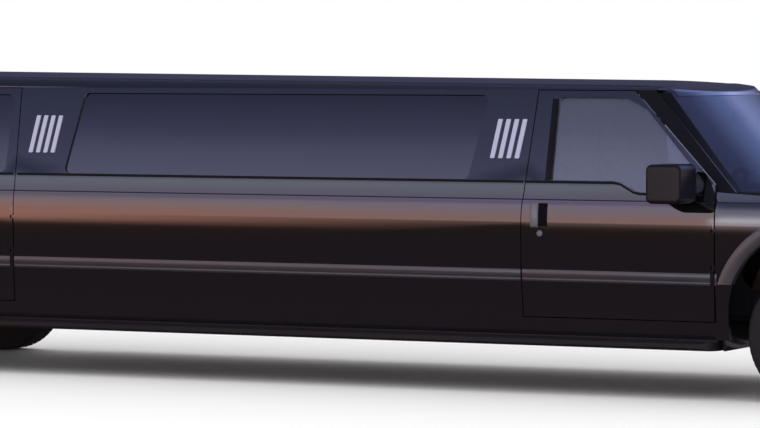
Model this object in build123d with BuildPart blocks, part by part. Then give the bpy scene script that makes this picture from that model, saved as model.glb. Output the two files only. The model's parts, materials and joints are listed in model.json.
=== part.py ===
from build123d import *
import os
from math import cos, hypot, radians, sin, tan

# Stretch limousine on a full-size SUV. Millimetres. Nose toward +X, right side toward -Y,
# ground at Z = 0, origin under the middle of the length.

# Overall lengths
WHEELBASE = 6640
FRONT_OVERHANG = 980
REAR_OVERHANG = 1330
X_NOSE = (WHEELBASE + FRONT_OVERHANG + REAR_OVERHANG) / 2
X_TAIL = -X_NOSE
X_FRONT_AXLE = X_NOSE - FRONT_OVERHANG
X_REAR_AXLE = X_TAIL + REAR_OVERHANG

# Stations along the side
DOOR_BEHIND_AXLE = 600
FRONT_DOOR_LENGTH = 1262
STRETCH = 3600
REAR_DOOR_LENGTH = 1010
X_DOOR = X_FRONT_AXLE - DOOR_BEHIND_AXLE
X_STRETCH = X_DOOR - FRONT_DOOR_LENGTH
X_REAR_DOOR = X_STRETCH - STRETCH
X_REAR_DOOR_END = X_REAR_DOOR - REAR_DOOR_LENGTH

# Heights
Z_SILL = 365
Z_DOOR_BOTTOM = 470
Z_WIDEST = 1050
Z_CREASE = 1186
Z_BELT = 1300
Z_WINDOW_TOP = 1822
Z_ROOF_SEAM = 1856
Z_FLOOR = 630
FLOOR_THICKNESS = 40

# Half widths of the outer side, and the walls behind it
Y_SILL = 960
Y_ROCKER = 985
Y_MOULDING = 1012
Y_WIDEST = 1016
Y_CREASE = 1000
Y_BELT = 968
Y_ROOF_SEAM = 830
Z_ROCKER = 440
Z_MOULDING = 760
CREASE_STEP = 7
DOOR_THICKNESS = 95
FRAME_THICKNESS = 58
Y_INNER = Y_WIDEST - DOOR_THICKNESS

# Gaps and door hinges
DOOR_GAP = 6
GLASS_CLEARANCE = 0.3
GLASS_SETBACK = 14
GLASS_THICKNESS = 6
WINDOW_CORNER = 42
PLUG_TAPER = tan(radians(12))
HINGE_EDGE = 11
HINGE_TAB_HALF = 8
HINGE_TAB_HEIGHT = 20
HINGE_TAB_REACH = 42
HINGE_NOTCH = 15
HINGE_PIN = 4
HINGE_PIN_REACH = 15
PIN_CLEARANCE = 0.05
HINGE_HEIGHTS = (800, 1020)
TAB_CLEARANCE = 1

# Windshield
WINDSHIELD_FOOT_X = X_DOOR + 273
WINDSHIELD_BOW = 150
WINDSHIELD_HALF = 905
WINDSHIELD_RAKE = 0.95
WINDSHIELD_THICKNESS = 8
Z_COWL = 1250
Z_HEADER = 1838

# Roof
ROOF_THICKNESS = 42
ROOF_RISE_REAR = 112
ROOF_RISE_FRONT = 50
ROOF_SHOULDER = 120
ROOF_CROWN = 26
ROOF_LIP = 12
NOSE_LENGTH = 740
NOSE_MIDDLE = 330
NOSE_DROP = 16
NOSE_MIDDLE_RISE = 41

# Rear end
X_REAR_FACE = X_TAIL + 110
REAR_LEAN = 85
REAR_CORNER = 105
REAR_PILLAR = 190
GATE_THICKNESS = 60
Z_GATE = 660

# Wheels and tyres
TYRE_RADIUS = 402
TYRE_WIDTH = 265
RIM_RADIUS = 205
FRONT_TRACK = 1738
REAR_TRACK = 1730
SPINDLE_RADIUS = 30
SPINDLE_CLEARANCE = 0.05
ARCH_RADIUS = 518
ARCH_RISE = 118
Z_ARCH = TYRE_RADIUS + ARCH_RISE
ARCH_LIP = 92
LIP_STAND = 10
LINER_ROOM = 30
LINER_THICKNESS = 12
KINGPIN_Y = 760

# Bumpers
BUMPER_WALL = 60
BUMPER_HALF = 985
BUMPER_WRAP = 235
FRONT_BOW = 150
REAR_BOW = 60
Z_BUMPER_TOP = 765
Z_REAR_BUMPER = 645

# Frame
RAIL_OUTER = 460
RAIL_WIDTH = 70
RAIL_HEIGHT = 150
X_RAIL_FRONT = X_NOSE - 175
X_RAIL_REAR = X_TAIL + 120
Z_RAIL = Z_FLOOR - RAIL_HEIGHT

os.makedirs("parts", exist_ok=True)


def write_part(builder, name):
    """Label a finished piece and write it as its own file."""
    builder.part.label = name
    export_step(builder.part, f"parts/{name}.step")


def block(x0, x1, y0, y1, z0, z1):
    """Plain block between two corners."""
    with BuildPart() as piece:
        with BuildSketch(Plane.XY.offset(z0)):
            with Locations(((x0 + x1) / 2, (y0 + y1) / 2)):
                Rectangle(x1 - x0, y1 - y0)
        extrude(amount=z1 - z0)
    return piece.part


def prism(plane, points, length):
    """Closed outline on a plane, extruded along its normal."""
    with BuildPart() as piece:
        with BuildSketch(plane):
            with BuildLine():
                Polyline(*points, close=True)
            make_face()
        extrude(amount=length)
    return piece.part


def side_prism(points, y0, y1):
    """Outline of (x, z) points seen from the side, from y0 to y1."""
    return prism(Plane.XZ.offset(-y1), points, y1 - y0)


def rod(plane, radius, length):
    """Round bar from a plane's origin along its normal."""
    with BuildPart() as piece:
        with BuildSketch(plane):
            Circle(radius)
        extrude(amount=length)
    return piece.part


def ring(plane, outer, inner, length):
    """Tube from a plane's origin along its normal."""
    with BuildPart() as piece:
        with BuildSketch(plane):
            Circle(outer)
            Circle(inner, mode=Mode.SUBTRACT)
        extrude(amount=length)
    return piece.part


def across(x, z, y):
    """Plane across the vehicle at y, facing +Y, with its origin at (x, y, z)."""
    return Plane(origin=(x, y, z), x_dir=(1, 0, 0), z_dir=(0, 1, 0))


def upward(x, y, z):
    """Level plane with its origin at (x, y, z)."""
    return Plane(origin=(x, y, z), x_dir=(1, 0, 0), z_dir=(0, 0, 1))


def grow(points, distance):
    """Move every edge of a closed outline outward by a distance."""
    count = len(points)
    turned = sum(points[i - 1][0] * points[i][1] - points[i][0] * points[i - 1][1] for i in range(count))
    side = 1 if turned > 0 else -1
    lines = []
    for i in range(count):
        (ax, az), (bx, bz) = points[i], points[(i + 1) % count]
        length = hypot(bx - ax, bz - az)
        nx, nz = side * (bz - az) / length, -side * (bx - ax) / length
        lines.append((nx, nz, nx * ax + nz * az + distance))
    grown = []
    for i in range(count):
        (a1, b1, c1), (a2, b2, c2) = lines[i - 1], lines[i]
        det = a1 * b2 - a2 * b1
        grown.append(((c1 * b2 - c2 * b1) / det, (a1 * c2 - a2 * c1) / det))
    return grown


# Body side, from the sill up: half width and height
SIDE_LOW = ((Y_SILL, Z_SILL), (Y_ROCKER, Z_ROCKER), (Y_MOULDING, Z_MOULDING), (Y_WIDEST, Z_WIDEST))
SIDE_HIGH = (
    (Y_CREASE, Z_CREASE),
    (Y_CREASE - CREASE_STEP, Z_CREASE + CREASE_STEP),
    (Y_BELT, Z_BELT),
    (Y_ROOF_SEAM, Z_ROOF_SEAM),
)
SIDE_INNER = (
    (Y_ROOF_SEAM - FRAME_THICKNESS, Z_ROOF_SEAM),
    (Y_BELT - FRAME_THICKNESS, Z_BELT),
    (Y_INNER, Z_CREASE),
    (Y_INNER, Z_SILL),
)
SHOULDER_MIDDLE = ((Y_WIDEST + Y_CREASE) / 2 + 4, (Z_WIDEST + Z_CREASE) / 2)


def side_half_width(z):
    """Half width of the outer side at a height, along straight runs."""
    rows = SIDE_LOW + SIDE_HIGH
    for (y0, z0), (y1, z1) in zip(rows, rows[1:]):
        if z <= z1:
            return y0 + (y1 - y0) * (z - z0) / (z1 - z0)
    return rows[-1][0]


def body_side(x0, x1, inner=SIDE_INNER):
    """Right side wall from station x0 to x1, bounded inside by the inner run of points."""
    with BuildPart() as wall:
        with BuildSketch(Plane.YZ.offset(x0)):
            with BuildLine():
                Polyline(*[(-y, z) for y, z in SIDE_LOW])
                ThreePointArc(
                    (-SIDE_LOW[-1][0], SIDE_LOW[-1][1]),
                    (-SHOULDER_MIDDLE[0], SHOULDER_MIDDLE[1]),
                    (-SIDE_HIGH[0][0], SIDE_HIGH[0][1]),
                )
                Polyline(*[(-y, z) for y, z in SIDE_HIGH + inner + SIDE_LOW[:1]])
            make_face()
        extrude(amount=x1 - x0)
    return wall.part


def plug(outline, clearance):
    """Door-shaped plug through the right side, narrower toward the inside."""
    proud = 30
    depth = 340
    with BuildPart() as piece:
        for y, step in ((-Y_WIDEST - proud, proud), (-Y_WIDEST - proud + depth, proud - depth)):
            with BuildSketch(Plane.XZ.offset(-y)):
                with BuildLine():
                    Polyline(*grow(outline, clearance + step * PLUG_TAPER), close=True)
                make_face()
        loft(ruled=True)
    return piece.part


def hinge_corner(x_edge, z0, z1):
    """What is cut from a door's leading corner so that it turns about its hinge."""
    y_axis = -Y_WIDEST + HINGE_EDGE
    x_axis = x_edge - HINGE_EDGE
    with BuildPart() as piece:
        with BuildSketch(Plane.XY.offset(z0)):
            with BuildLine():
                Polyline((x_edge, y_axis), (x_edge + 60, y_axis), (x_edge + 60, y_axis - 60),
                         (x_axis, y_axis - 60), (x_axis, y_axis - HINGE_EDGE))
                RadiusArc((x_axis, y_axis - HINGE_EDGE), (x_edge, y_axis), -HINGE_EDGE)
            make_face()
        extrude(amount=z1 - z0)
    return piece.part


def hinge_tabs(x_edge):
    """Tabs and pins that carry a door, standing back from the panel ahead of it."""
    y_axis = -Y_WIDEST + HINGE_EDGE
    x_axis = x_edge - HINGE_EDGE
    with BuildPart() as piece:
        for z in HINGE_HEIGHTS:
            low = z - HINGE_TAB_HEIGHT / 2
            add(rod(upward(x_axis, y_axis, low), HINGE_TAB_HALF, HINGE_TAB_HEIGHT))
            add(block(x_axis, x_axis + HINGE_TAB_REACH, y_axis - HINGE_TAB_HALF,
                      y_axis + HINGE_TAB_HALF, low, low + HINGE_TAB_HEIGHT))
            add(rod(upward(x_axis, y_axis, low - HINGE_PIN_REACH), HINGE_PIN,
                    HINGE_TAB_HEIGHT + 2 * HINGE_PIN_REACH))
    return piece.part


def hinge_notches(x_edge):
    """Room in a door for its hinge tabs, and the bores for the pins."""
    y_axis = -Y_WIDEST + HINGE_EDGE
    x_axis = x_edge - HINGE_EDGE
    with BuildPart() as piece:
        for z in HINGE_HEIGHTS:
            low = z - HINGE_TAB_HEIGHT / 2
            add(rod(upward(x_axis, y_axis, low - TAB_CLEARANCE), HINGE_NOTCH,
                    HINGE_TAB_HEIGHT + 2 * TAB_CLEARANCE))
            add(rod(upward(x_axis, y_axis, low - HINGE_PIN_REACH - TAB_CLEARANCE),
                    HINGE_PIN + PIN_CLEARANCE,
                    HINGE_TAB_HEIGHT + 2 * HINGE_PIN_REACH + 2 * TAB_CLEARANCE))
    return piece.part


def window_cut(points, corner=WINDOW_CORNER):
    """Opening through the right side for a window, with rounded corners."""
    with BuildPart() as opening:
        add(side_prism(points, -Y_WIDEST - 60, -Y_ROOF_SEAM + 260))
        fillet(opening.edges().filter_by(Axis.Y), radius=corner)
    return opening.part


def glass_pane(points, setback=GLASS_SETBACK, thickness=GLASS_THICKNESS, corner=WINDOW_CORNER):
    """Right side glass that fills a window, set back from the outer face."""
    lean = (Y_BELT - Y_ROOF_SEAM) / (Z_ROOF_SEAM - Z_BELT)
    outer = [(Y_BELT - setback - lean * (z - Z_BELT), z) for z in (Z_BELT - 240, Z_ROOF_SEAM)]
    inner = [(y - thickness, z) for y, z in reversed(outer)]
    xs = [x for x, z in points]
    profile = [(-y, z) for y, z in outer + inner]
    sheet = prism(Plane.YZ.offset(min(xs)), profile, max(xs) - min(xs))
    with BuildPart() as pane:
        add(sheet)
        add(window_cut(grow(points, -GLASS_CLEARANCE), corner - GLASS_CLEARANCE), mode=Mode.INTERSECT)
    return pane


def both_sides(part):
    """A right side piece with its mirror image."""
    with BuildPart() as pair:
        add(part)
        mirror(part, about=Plane.XZ)
    return pair


def left_of(part):
    """The mirror image of a right side piece."""
    with BuildPart() as other:
        mirror(part, about=Plane.XZ)
    return other


# Door and window outlines, (x, z) at the widest plane
X_DOOR_EDGE = X_DOOR - DOOR_GAP / 2
X_DOOR_BACK = X_STRETCH + DOOR_GAP / 2
X_REAR_EDGE = X_REAR_DOOR - DOOR_GAP / 2
Z_PLUG_TOP = Z_ROOF_SEAM - DOOR_GAP + (Y_WIDEST - Y_ROOF_SEAM) * PLUG_TAPER
PILLAR_FOOT = Z_BELT
PILLAR_RAKE = 0.96
PILLAR_FRAME = 72
ARCH_CUT = ARCH_RADIUS + ARCH_LIP + 20
ARCH_SILL_X = X_REAR_AXLE + ARCH_CUT


def front_door_outline(top):
    """Front door up to a height, leaning back along the windshield pillar."""
    return (
        (X_DOOR_EDGE, Z_DOOR_BOTTOM),
        (X_DOOR_EDGE, PILLAR_FOOT),
        (X_DOOR_EDGE - PILLAR_RAKE * (top - PILLAR_FOOT), top),
        (X_DOOR_BACK, top),
        (X_DOOR_BACK, Z_DOOR_BOTTOM),
    )


def rear_door_outline(top):
    """Rear door up to a height, cut back round the wheel arch."""
    return (
        (X_REAR_EDGE, Z_DOOR_BOTTOM),
        (X_REAR_EDGE, top),
        (X_REAR_DOOR_END, top),
        (X_REAR_DOOR_END, Z_ARCH + 0.98 * ARCH_CUT),
        (X_REAR_AXLE + 0.583 * ARCH_CUT, Z_ARCH + 0.832 * ARCH_CUT),
        (ARCH_SILL_X, Z_ARCH + 0.415 * ARCH_CUT),
        (ARCH_SILL_X, Z_DOOR_BOTTOM),
    )


def window_front(z):
    """Front edge of the front door's window at a height, along the windshield pillar."""
    return X_DOOR_EDGE - PILLAR_FRAME - PILLAR_RAKE * (z - PILLAR_FOOT)


PILLAR_HEAD_X = X_DOOR_EDGE - PILLAR_RAKE * (Z_PLUG_TOP - PILLAR_FOOT)
X_QUARTER = ARCH_SILL_X - 15
Z_DOOR_GLASS_TOP = Z_WINDOW_TOP - 12
Z_WINDOW_BEND = Z_DOOR_GLASS_TOP - 70
Z_BELT_DIP = Z_BELT - 60
REAR_POST = 158
REAR_POST_LEAN = 20
FRONT_WINDOW = (
    (X_STRETCH + REAR_POST, Z_BELT + 6),
    (X_STRETCH + REAR_POST + REAR_POST_LEAN, Z_DOOR_GLASS_TOP),
    (window_front(Z_DOOR_GLASS_TOP) - 75, Z_DOOR_GLASS_TOP),
    (window_front(Z_WINDOW_BEND), Z_WINDOW_BEND),
    (window_front(Z_BELT + 10), Z_BELT + 10),
    (window_front(Z_BELT + 10), Z_BELT_DIP),
    (X_DOOR - 490, Z_BELT_DIP),
    (X_DOOR - 670, Z_BELT + 6),
)
WINDOW_LEAN = 92
FRONT_OPERA = 381
REAR_OPERA = 348
LONG_WINDOW = (
    (X_STRETCH - FRONT_OPERA, Z_BELT + 4),
    (X_STRETCH - FRONT_OPERA + WINDOW_LEAN, Z_WINDOW_TOP),
    (X_REAR_DOOR + REAR_OPERA + WINDOW_LEAN, Z_WINDOW_TOP),
    (X_REAR_DOOR + REAR_OPERA, Z_BELT + 4),
)
REAR_WINDOW = (
    (X_REAR_DOOR - 90, Z_BELT + 6),
    (X_REAR_DOOR - 90, Z_DOOR_GLASS_TOP),
    (X_REAR_DOOR_END + 130, Z_DOOR_GLASS_TOP),
    (X_REAR_DOOR_END + 130, Z_BELT + 6),
)
QUARTER_WINDOW = (
    (X_REAR_DOOR_END - 110, Z_BELT + 4),
    (X_REAR_DOOR_END - 110, Z_WINDOW_TOP),
    (X_REAR_FACE + 330, Z_WINDOW_TOP),
    (X_REAR_FACE + 250, Z_BELT + 4),
)

# Side doors
Z_OPENING_TOP = Z_PLUG_TOP + 60
front_plug = plug(front_door_outline(Z_PLUG_TOP), 0)
rear_plug = plug(rear_door_outline(Z_PLUG_TOP), 0)
front_opening = plug(front_door_outline(Z_OPENING_TOP), DOOR_GAP)
rear_opening = plug(rear_door_outline(Z_OPENING_TOP), DOOR_GAP)
DOORS = (
    # name, plug, leading edge, window
    ("front_door", front_plug, X_DOOR_EDGE, FRONT_WINDOW),
    ("rear_door", rear_plug, X_REAR_EDGE, REAR_WINDOW),
)
for name, door_plug, edge, window in DOORS:
    shell = body_side(edge - FRONT_DOOR_LENGTH, edge)
    corner = hinge_corner(edge, Z_SILL, Z_ROOF_SEAM)
    notches = hinge_notches(edge)
    opening = window_cut(window)
    with BuildPart() as door:
        add(shell)
        add(door_plug, mode=Mode.INTERSECT)
        add(corner, mode=Mode.SUBTRACT)
        add(notches, mode=Mode.SUBTRACT)
        add(opening, mode=Mode.SUBTRACT)
    write_part(door, f"{name}_right")
    write_part(left_of(door.part), f"{name}_left")
    pane = glass_pane(window)
    write_part(pane, f"{name}_glass_right")
    write_part(left_of(pane.part), f"{name}_glass_left")

# Side panel of the stretch, with the sills under both doors
panel_shell = body_side(X_QUARTER, X_DOOR_EDGE + DOOR_GAP)
panel_tabs = hinge_tabs(X_REAR_EDGE)
long_cut = window_cut(LONG_WINDOW)
ahead_of_door = block(X_DOOR_EDGE - 600, X_DOOR_EDGE + 60, -Y_WIDEST - 60, 0, Z_CREASE - 60, Z_ROOF_SEAM + 60)
door_strip = block(X_DOOR_EDGE - 60, X_DOOR_EDGE + 60, -Y_WIDEST - 60, 0, Z_DOOR_BOTTOM, Z_ROOF_SEAM)
with BuildPart() as side_panel:
    add(panel_shell)
    add(front_opening, mode=Mode.SUBTRACT)
    add(rear_opening, mode=Mode.SUBTRACT)
    add(ahead_of_door, mode=Mode.SUBTRACT)
    add(door_strip, mode=Mode.SUBTRACT)
    add(long_cut, mode=Mode.SUBTRACT)
    add(panel_tabs)
write_part(side_panel, "side_panel_right")
write_part(left_of(side_panel.part), "side_panel_left")


# Front fenders with arch lips and wheel liners
X_FENDER = X_DOOR_EDGE + DOOR_GAP
X_FENDER_FRONT = X_NOSE - 150
X_FENDER_BEND = X_FRONT_AXLE + 255
FENDER_WALL = 62
Y_FENDER_FRONT = 930
Z_FENDER_FRONT = 1172
Z_LIP_END = 700
Z_LINER_END = 500
Z_FLAP = 300
Y_LINER = 560


def fender_inner(x):
    """Half width of the fender's inner face at a station."""
    share = max(0, (x - X_FENDER_BEND) / (X_FENDER_FRONT - X_FENDER_BEND))
    return Y_WIDEST - DOOR_THICKNESS + 23 + (Y_FENDER_FRONT - FENDER_WALL - Y_INNER - 23) * share


def arch_opening(x_axle):
    """Room through the right side for a wheel: round above its centre, upright below."""
    with BuildPart() as opening:
        add(rod(across(x_axle, Z_ARCH, -Y_WIDEST - 60), ARCH_RADIUS, 400))
        add(block(x_axle - ARCH_RADIUS, x_axle + ARCH_RADIUS, -Y_WIDEST - 60, 340 - Y_WIDEST, 0, Z_ARCH))
    return opening.part


def arch_lip(x_axle):
    """Raised lip round the right wheel arch."""
    circle = ring(across(x_axle, Z_ARCH, -Y_WIDEST - LIP_STAND),
                  ARCH_RADIUS + ARCH_LIP, ARCH_RADIUS, LIP_STAND + 40)
    below = block(x_axle - 900, x_axle + 900, -Y_WIDEST - 60, 0, -400, Z_LIP_END)
    with BuildPart() as lip:
        add(circle)
        add(below, mode=Mode.SUBTRACT)
    return lip.part


fender_wall = body_side(X_FENDER, X_FENDER_FRONT, ((700, Z_ROOF_SEAM), (700, Z_SILL)))
fender_outline = side_prism(
    ((X_FENDER, Z_SILL), (X_FENDER, Z_COWL), (X_NOSE - 330, Z_FENDER_FRONT),
     (X_FENDER_FRONT, Z_FENDER_FRONT - 52), (X_FENDER_FRONT, Z_BUMPER_TOP + 5),
     (X_NOSE - 390, Z_BUMPER_TOP + 5), (X_NOSE - 390, 560), (X_FRONT_AXLE, 560), (X_FRONT_AXLE, Z_SILL)),
    -Y_WIDEST - 60, -700)
with BuildPart() as fender_plan:
    with BuildSketch():
        with BuildLine():
            Line((X_FENDER, -Y_WIDEST - 14), (X_FENDER_BEND, -Y_WIDEST - 14))
            TangentArc((X_FENDER_BEND, -Y_WIDEST - 14), (X_FENDER_FRONT, -Y_FENDER_FRONT), tangent=(1, 0))
            Polyline((X_FENDER_FRONT, -Y_FENDER_FRONT),
                     (X_FENDER_FRONT, -fender_inner(X_FENDER_FRONT)),
                     (X_FENDER_BEND, -fender_inner(X_FENDER_BEND)),
                     (X_FENDER, -fender_inner(X_FENDER)),
                     (X_FENDER, -Y_WIDEST - 14))
        make_face()
    extrude(amount=Z_ROOF_SEAM)
front_arch = arch_opening(X_FRONT_AXLE)
front_lip = arch_lip(X_FRONT_AXLE)
liner_ring = ring(across(X_FRONT_AXLE, Z_ARCH, -fender_inner(X_FENDER) - 20),
                  ARCH_RADIUS + LINER_ROOM + LINER_THICKNESS, ARCH_RADIUS + LINER_ROOM,
                  fender_inner(X_FENDER) + 20 - Y_LINER)
under_liner = block(X_FRONT_AXLE - 900, X_FRONT_AXLE + 900, -Y_WIDEST, 0, -400, Z_LINER_END)
x_flap = X_FRONT_AXLE - ARCH_RADIUS - LINER_ROOM
mud_flap = block(x_flap - LINER_THICKNESS, x_flap, -fender_inner(X_FENDER) - 20, -Y_LINER, Z_FLAP, Z_ARCH)
with BuildPart() as front_liner:
    add(liner_ring)
    add(under_liner, mode=Mode.SUBTRACT)
    add(mud_flap)
fender_tabs = hinge_tabs(X_DOOR_EDGE)
with BuildPart() as fender:
    add(fender_wall)
    add(fender_outline, mode=Mode.INTERSECT)
    add(fender_plan.part, mode=Mode.INTERSECT)
    add(front_arch, mode=Mode.SUBTRACT)
    add(front_lip)
    add(front_liner.part)
    add(fender_tabs)
write_part(fender, "front_fender_right")
write_part(left_of(fender.part), "front_fender_left")

# Cowl with the windshield pillars and the firewall
X_HOOD_REAR = WINDSHIELD_FOOT_X + 66
COWL_DEPTH = 70
FIREWALL = 25
HOOD_HINGE_Y = 600
HOOD_HINGE_X = X_HOOD_REAR + HINGE_EDGE
HOOD_EDGE_Z = 1238
HOOD_CROWN = 58
HOOD_HALF = 930
HOOD_HINGE_Z = HOOD_EDGE_Z + HOOD_CROWN * (1 - (HOOD_HINGE_Y / HOOD_HALF) ** 2) - HINGE_EDGE
glass_foot = WINDSHIELD_FOOT_X - WINDSHIELD_BOW
pillar_wall = body_side(PILLAR_HEAD_X - 200, glass_foot + 20)
ahead_of_glass = side_prism(
    ((glass_foot, Z_COWL), (glass_foot - WINDSHIELD_RAKE * (Z_ROOF_SEAM - Z_COWL), Z_ROOF_SEAM),
     (glass_foot + 200, Z_ROOF_SEAM), (glass_foot + 200, Z_COWL)), -Y_WIDEST - 60, 0)
pillar_foot_cut = block(PILLAR_HEAD_X - 300, X_DOOR + 300, -Y_WIDEST - 60, 0, 0, Z_COWL)
with BuildPart() as pillar:
    add(pillar_wall)
    add(front_opening, mode=Mode.SUBTRACT)
    add(ahead_of_glass, mode=Mode.SUBTRACT)
    add(pillar_foot_cut, mode=Mode.SUBTRACT)
pillars = both_sides(pillar.part)
cowl_beam = block(X_FENDER + 2, X_HOOD_REAR - DOOR_GAP, -fender_inner(X_FENDER), fender_inner(X_FENDER),
                  Z_COWL - COWL_DEPTH, Z_COWL)
firewall = block(X_FENDER + 2, X_FENDER + 2 + FIREWALL, -Y_INNER + 8, Y_INNER - 8,
                 Z_FLOOR + FLOOR_THICKNESS, Z_COWL - COWL_DEPTH)
with BuildPart() as cowl:
    add(cowl_beam)
    add(firewall)
    add(pillars.part)
    for y in (-HOOD_HINGE_Y, HOOD_HINGE_Y):
        low = y - HINGE_TAB_HEIGHT / 2
        add(rod(across(HOOD_HINGE_X, HOOD_HINGE_Z, low), HINGE_TAB_HALF, HINGE_TAB_HEIGHT))
        add(block(HOOD_HINGE_X - 62, HOOD_HINGE_X, low, low + HINGE_TAB_HEIGHT,
                  HOOD_HINGE_Z - HINGE_TAB_HALF, HOOD_HINGE_Z + HINGE_TAB_HALF))
        add(block(HOOD_HINGE_X - 62, HOOD_HINGE_X - 24, low, low + HINGE_TAB_HEIGHT,
                  Z_COWL - 10, HOOD_HINGE_Z))
        add(rod(across(HOOD_HINGE_X, HOOD_HINGE_Z, low - HINGE_PIN_REACH), HINGE_PIN,
                HINGE_TAB_HEIGHT + 2 * HINGE_PIN_REACH))
write_part(cowl, "cowl_and_pillars")

# Windshield: a bowed sheet along the rake
half_foot = Y_INNER - 9
half_head = Y_ROOF_SEAM - FRAME_THICKNESS - 9
front_view = prism(Plane.YZ.offset(0),
                   ((-half_foot, Z_COWL), (half_foot, Z_COWL), (half_head, Z_HEADER), (-half_head, Z_HEADER)),
                   X_NOSE)


def windshield_sheet(back, front, top):
    """Bowed band between two setbacks from the glass's outer face, swept up the rake to a height."""
    with BuildPart() as sheet:
        with BuildSketch(Plane.XY.offset(Z_COWL)):
            with BuildLine():
                edges = [(WINDSHIELD_FOOT_X + x, WINDSHIELD_HALF) for x in (back, front)]
                for x, y in edges:
                    ThreePointArc((x - WINDSHIELD_BOW, -y), (x, 0), (x - WINDSHIELD_BOW, y))
                for sign in (-1, 1):
                    Line((edges[0][0] - WINDSHIELD_BOW, sign * edges[0][1]),
                         (edges[1][0] - WINDSHIELD_BOW, sign * edges[1][1]))
            make_face()
        extrude(amount=(top - Z_COWL) * hypot(1, WINDSHIELD_RAKE), dir=(-WINDSHIELD_RAKE, 0, 1))
    return sheet.part


glass_sheet = windshield_sheet(-WINDSHIELD_THICKNESS, 0, Z_HEADER)
with BuildPart() as windshield:
    add(glass_sheet)
    add(front_view, mode=Mode.INTERSECT)
write_part(windshield, "windshield")

# Roof, lower at the windshield than at the rear
X_ROOF_REAR = X_REAR_FACE + REAR_LEAN - ROOF_LIP
X_ROOF_FRONT = WINDSHIELD_FOOT_X - WINDSHIELD_RAKE * (Z_ROOF_SEAM - Z_COWL)
Y_ROOF_EDGE = Y_ROOF_SEAM - ROOF_SHOULDER
X_GATE_HINGE = X_REAR_FACE + REAR_LEAN + HINGE_EDGE
Z_GATE_TOP = Z_ROOF_SEAM - 10
Z_GATE_HINGE = Z_GATE_TOP - HINGE_EDGE
GATE_HINGE_Y = 420
GATE_NOTCH = 19
HEADER_LENGTH = 70
header_top = Z_ROOF_SEAM + ROOF_RISE_REAR - ROOF_CROWN - 15
header = prism(Plane.YZ.offset(X_ROOF_REAR),
               ((-Y_ROOF_SEAM + 30, Z_ROOF_SEAM), (Y_ROOF_SEAM - 30, Z_ROOF_SEAM), (Y_ROOF_EDGE - 5, header_top),
                (-Y_ROOF_EDGE + 5, header_top)), HEADER_LENGTH)
ahead_of_roof = windshield_sheet(-WINDSHIELD_THICKNESS - GLASS_CLEARANCE, 600, Z_ROOF_SEAM + 200)
nose_start = (X_ROOF_FRONT - NOSE_LENGTH, Z_ROOF_SEAM + ROOF_RISE_FRONT + 7)
nose_end = (X_ROOF_FRONT, Z_ROOF_SEAM - NOSE_DROP)
with BuildPart() as over_nose:
    with BuildSketch(Plane.XZ.offset(-Y_WIDEST)):
        with BuildLine():
            ThreePointArc(nose_start, (X_ROOF_FRONT - NOSE_MIDDLE, Z_ROOF_SEAM + NOSE_MIDDLE_RISE), nose_end)
            Polyline(nose_end, (X_ROOF_FRONT, Z_ROOF_SEAM + 200), (nose_start[0], Z_ROOF_SEAM + 200), nose_start)
        make_face()
    extrude(amount=2 * Y_WIDEST)
with BuildPart() as roof:
    for x, rise in ((X_ROOF_REAR, ROOF_RISE_REAR), (X_ROOF_FRONT, ROOF_RISE_FRONT)):
        with BuildSketch(Plane.YZ.offset(x)):
            edge_z = Z_ROOF_SEAM + rise - ROOF_CROWN
            with BuildLine():
                ThreePointArc((-Y_ROOF_SEAM, Z_ROOF_SEAM),
                              (-Y_ROOF_SEAM + 0.25 * ROOF_SHOULDER, Z_ROOF_SEAM + 0.7 * (rise - ROOF_CROWN)),
                              (-Y_ROOF_EDGE, edge_z))
                ThreePointArc((-Y_ROOF_EDGE, edge_z), (0, Z_ROOF_SEAM + rise), (Y_ROOF_EDGE, edge_z))
                ThreePointArc((Y_ROOF_EDGE, edge_z),
                              (Y_ROOF_SEAM - 0.25 * ROOF_SHOULDER, Z_ROOF_SEAM + 0.7 * (rise - ROOF_CROWN)),
                              (Y_ROOF_SEAM, Z_ROOF_SEAM))
                Polyline((Y_ROOF_SEAM, Z_ROOF_SEAM), (Y_ROOF_SEAM - FRAME_THICKNESS, Z_ROOF_SEAM),
                         (Y_ROOF_EDGE - 20, edge_z - ROOF_THICKNESS))
                ThreePointArc((Y_ROOF_EDGE - 20, edge_z - ROOF_THICKNESS),
                              (0, Z_ROOF_SEAM + rise - ROOF_THICKNESS),
                              (-Y_ROOF_EDGE + 20, edge_z - ROOF_THICKNESS))
                Polyline((-Y_ROOF_EDGE + 20, edge_z - ROOF_THICKNESS),
                         (-Y_ROOF_SEAM + FRAME_THICKNESS, Z_ROOF_SEAM), (-Y_ROOF_SEAM, Z_ROOF_SEAM))
            make_face()
    loft(ruled=True)
    add(ahead_of_roof, mode=Mode.SUBTRACT)
    add(over_nose.part, mode=Mode.SUBTRACT)
    add(header)
    for y in (-GATE_HINGE_Y, GATE_HINGE_Y):
        low = y - HINGE_TAB_HEIGHT / 2
        add(rod(across(X_GATE_HINGE, Z_GATE_HINGE, low), HINGE_TAB_HALF, HINGE_TAB_HEIGHT))
        add(block(X_GATE_HINGE - HINGE_TAB_HALF, X_GATE_HINGE + HINGE_TAB_HALF, low, low + HINGE_TAB_HEIGHT,
                  Z_GATE_HINGE, Z_ROOF_SEAM + 20))
        add(rod(across(X_GATE_HINGE, Z_GATE_HINGE, low - HINGE_PIN_REACH), HINGE_PIN,
                HINGE_TAB_HEIGHT + 2 * HINGE_PIN_REACH))
write_part(roof, "roof_panel")

# Rear quarters: level sections from the sill to the roof seam, round the rear corner
Z_REAR_SKIRT = 455


def rear_face(z):
    """Station of the rear face at a height: upright below the crease, leaning above it."""
    return X_REAR_FACE + REAR_LEAN * max(0, (z - Z_CREASE) / (Z_ROOF_SEAM - Z_CREASE))


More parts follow.
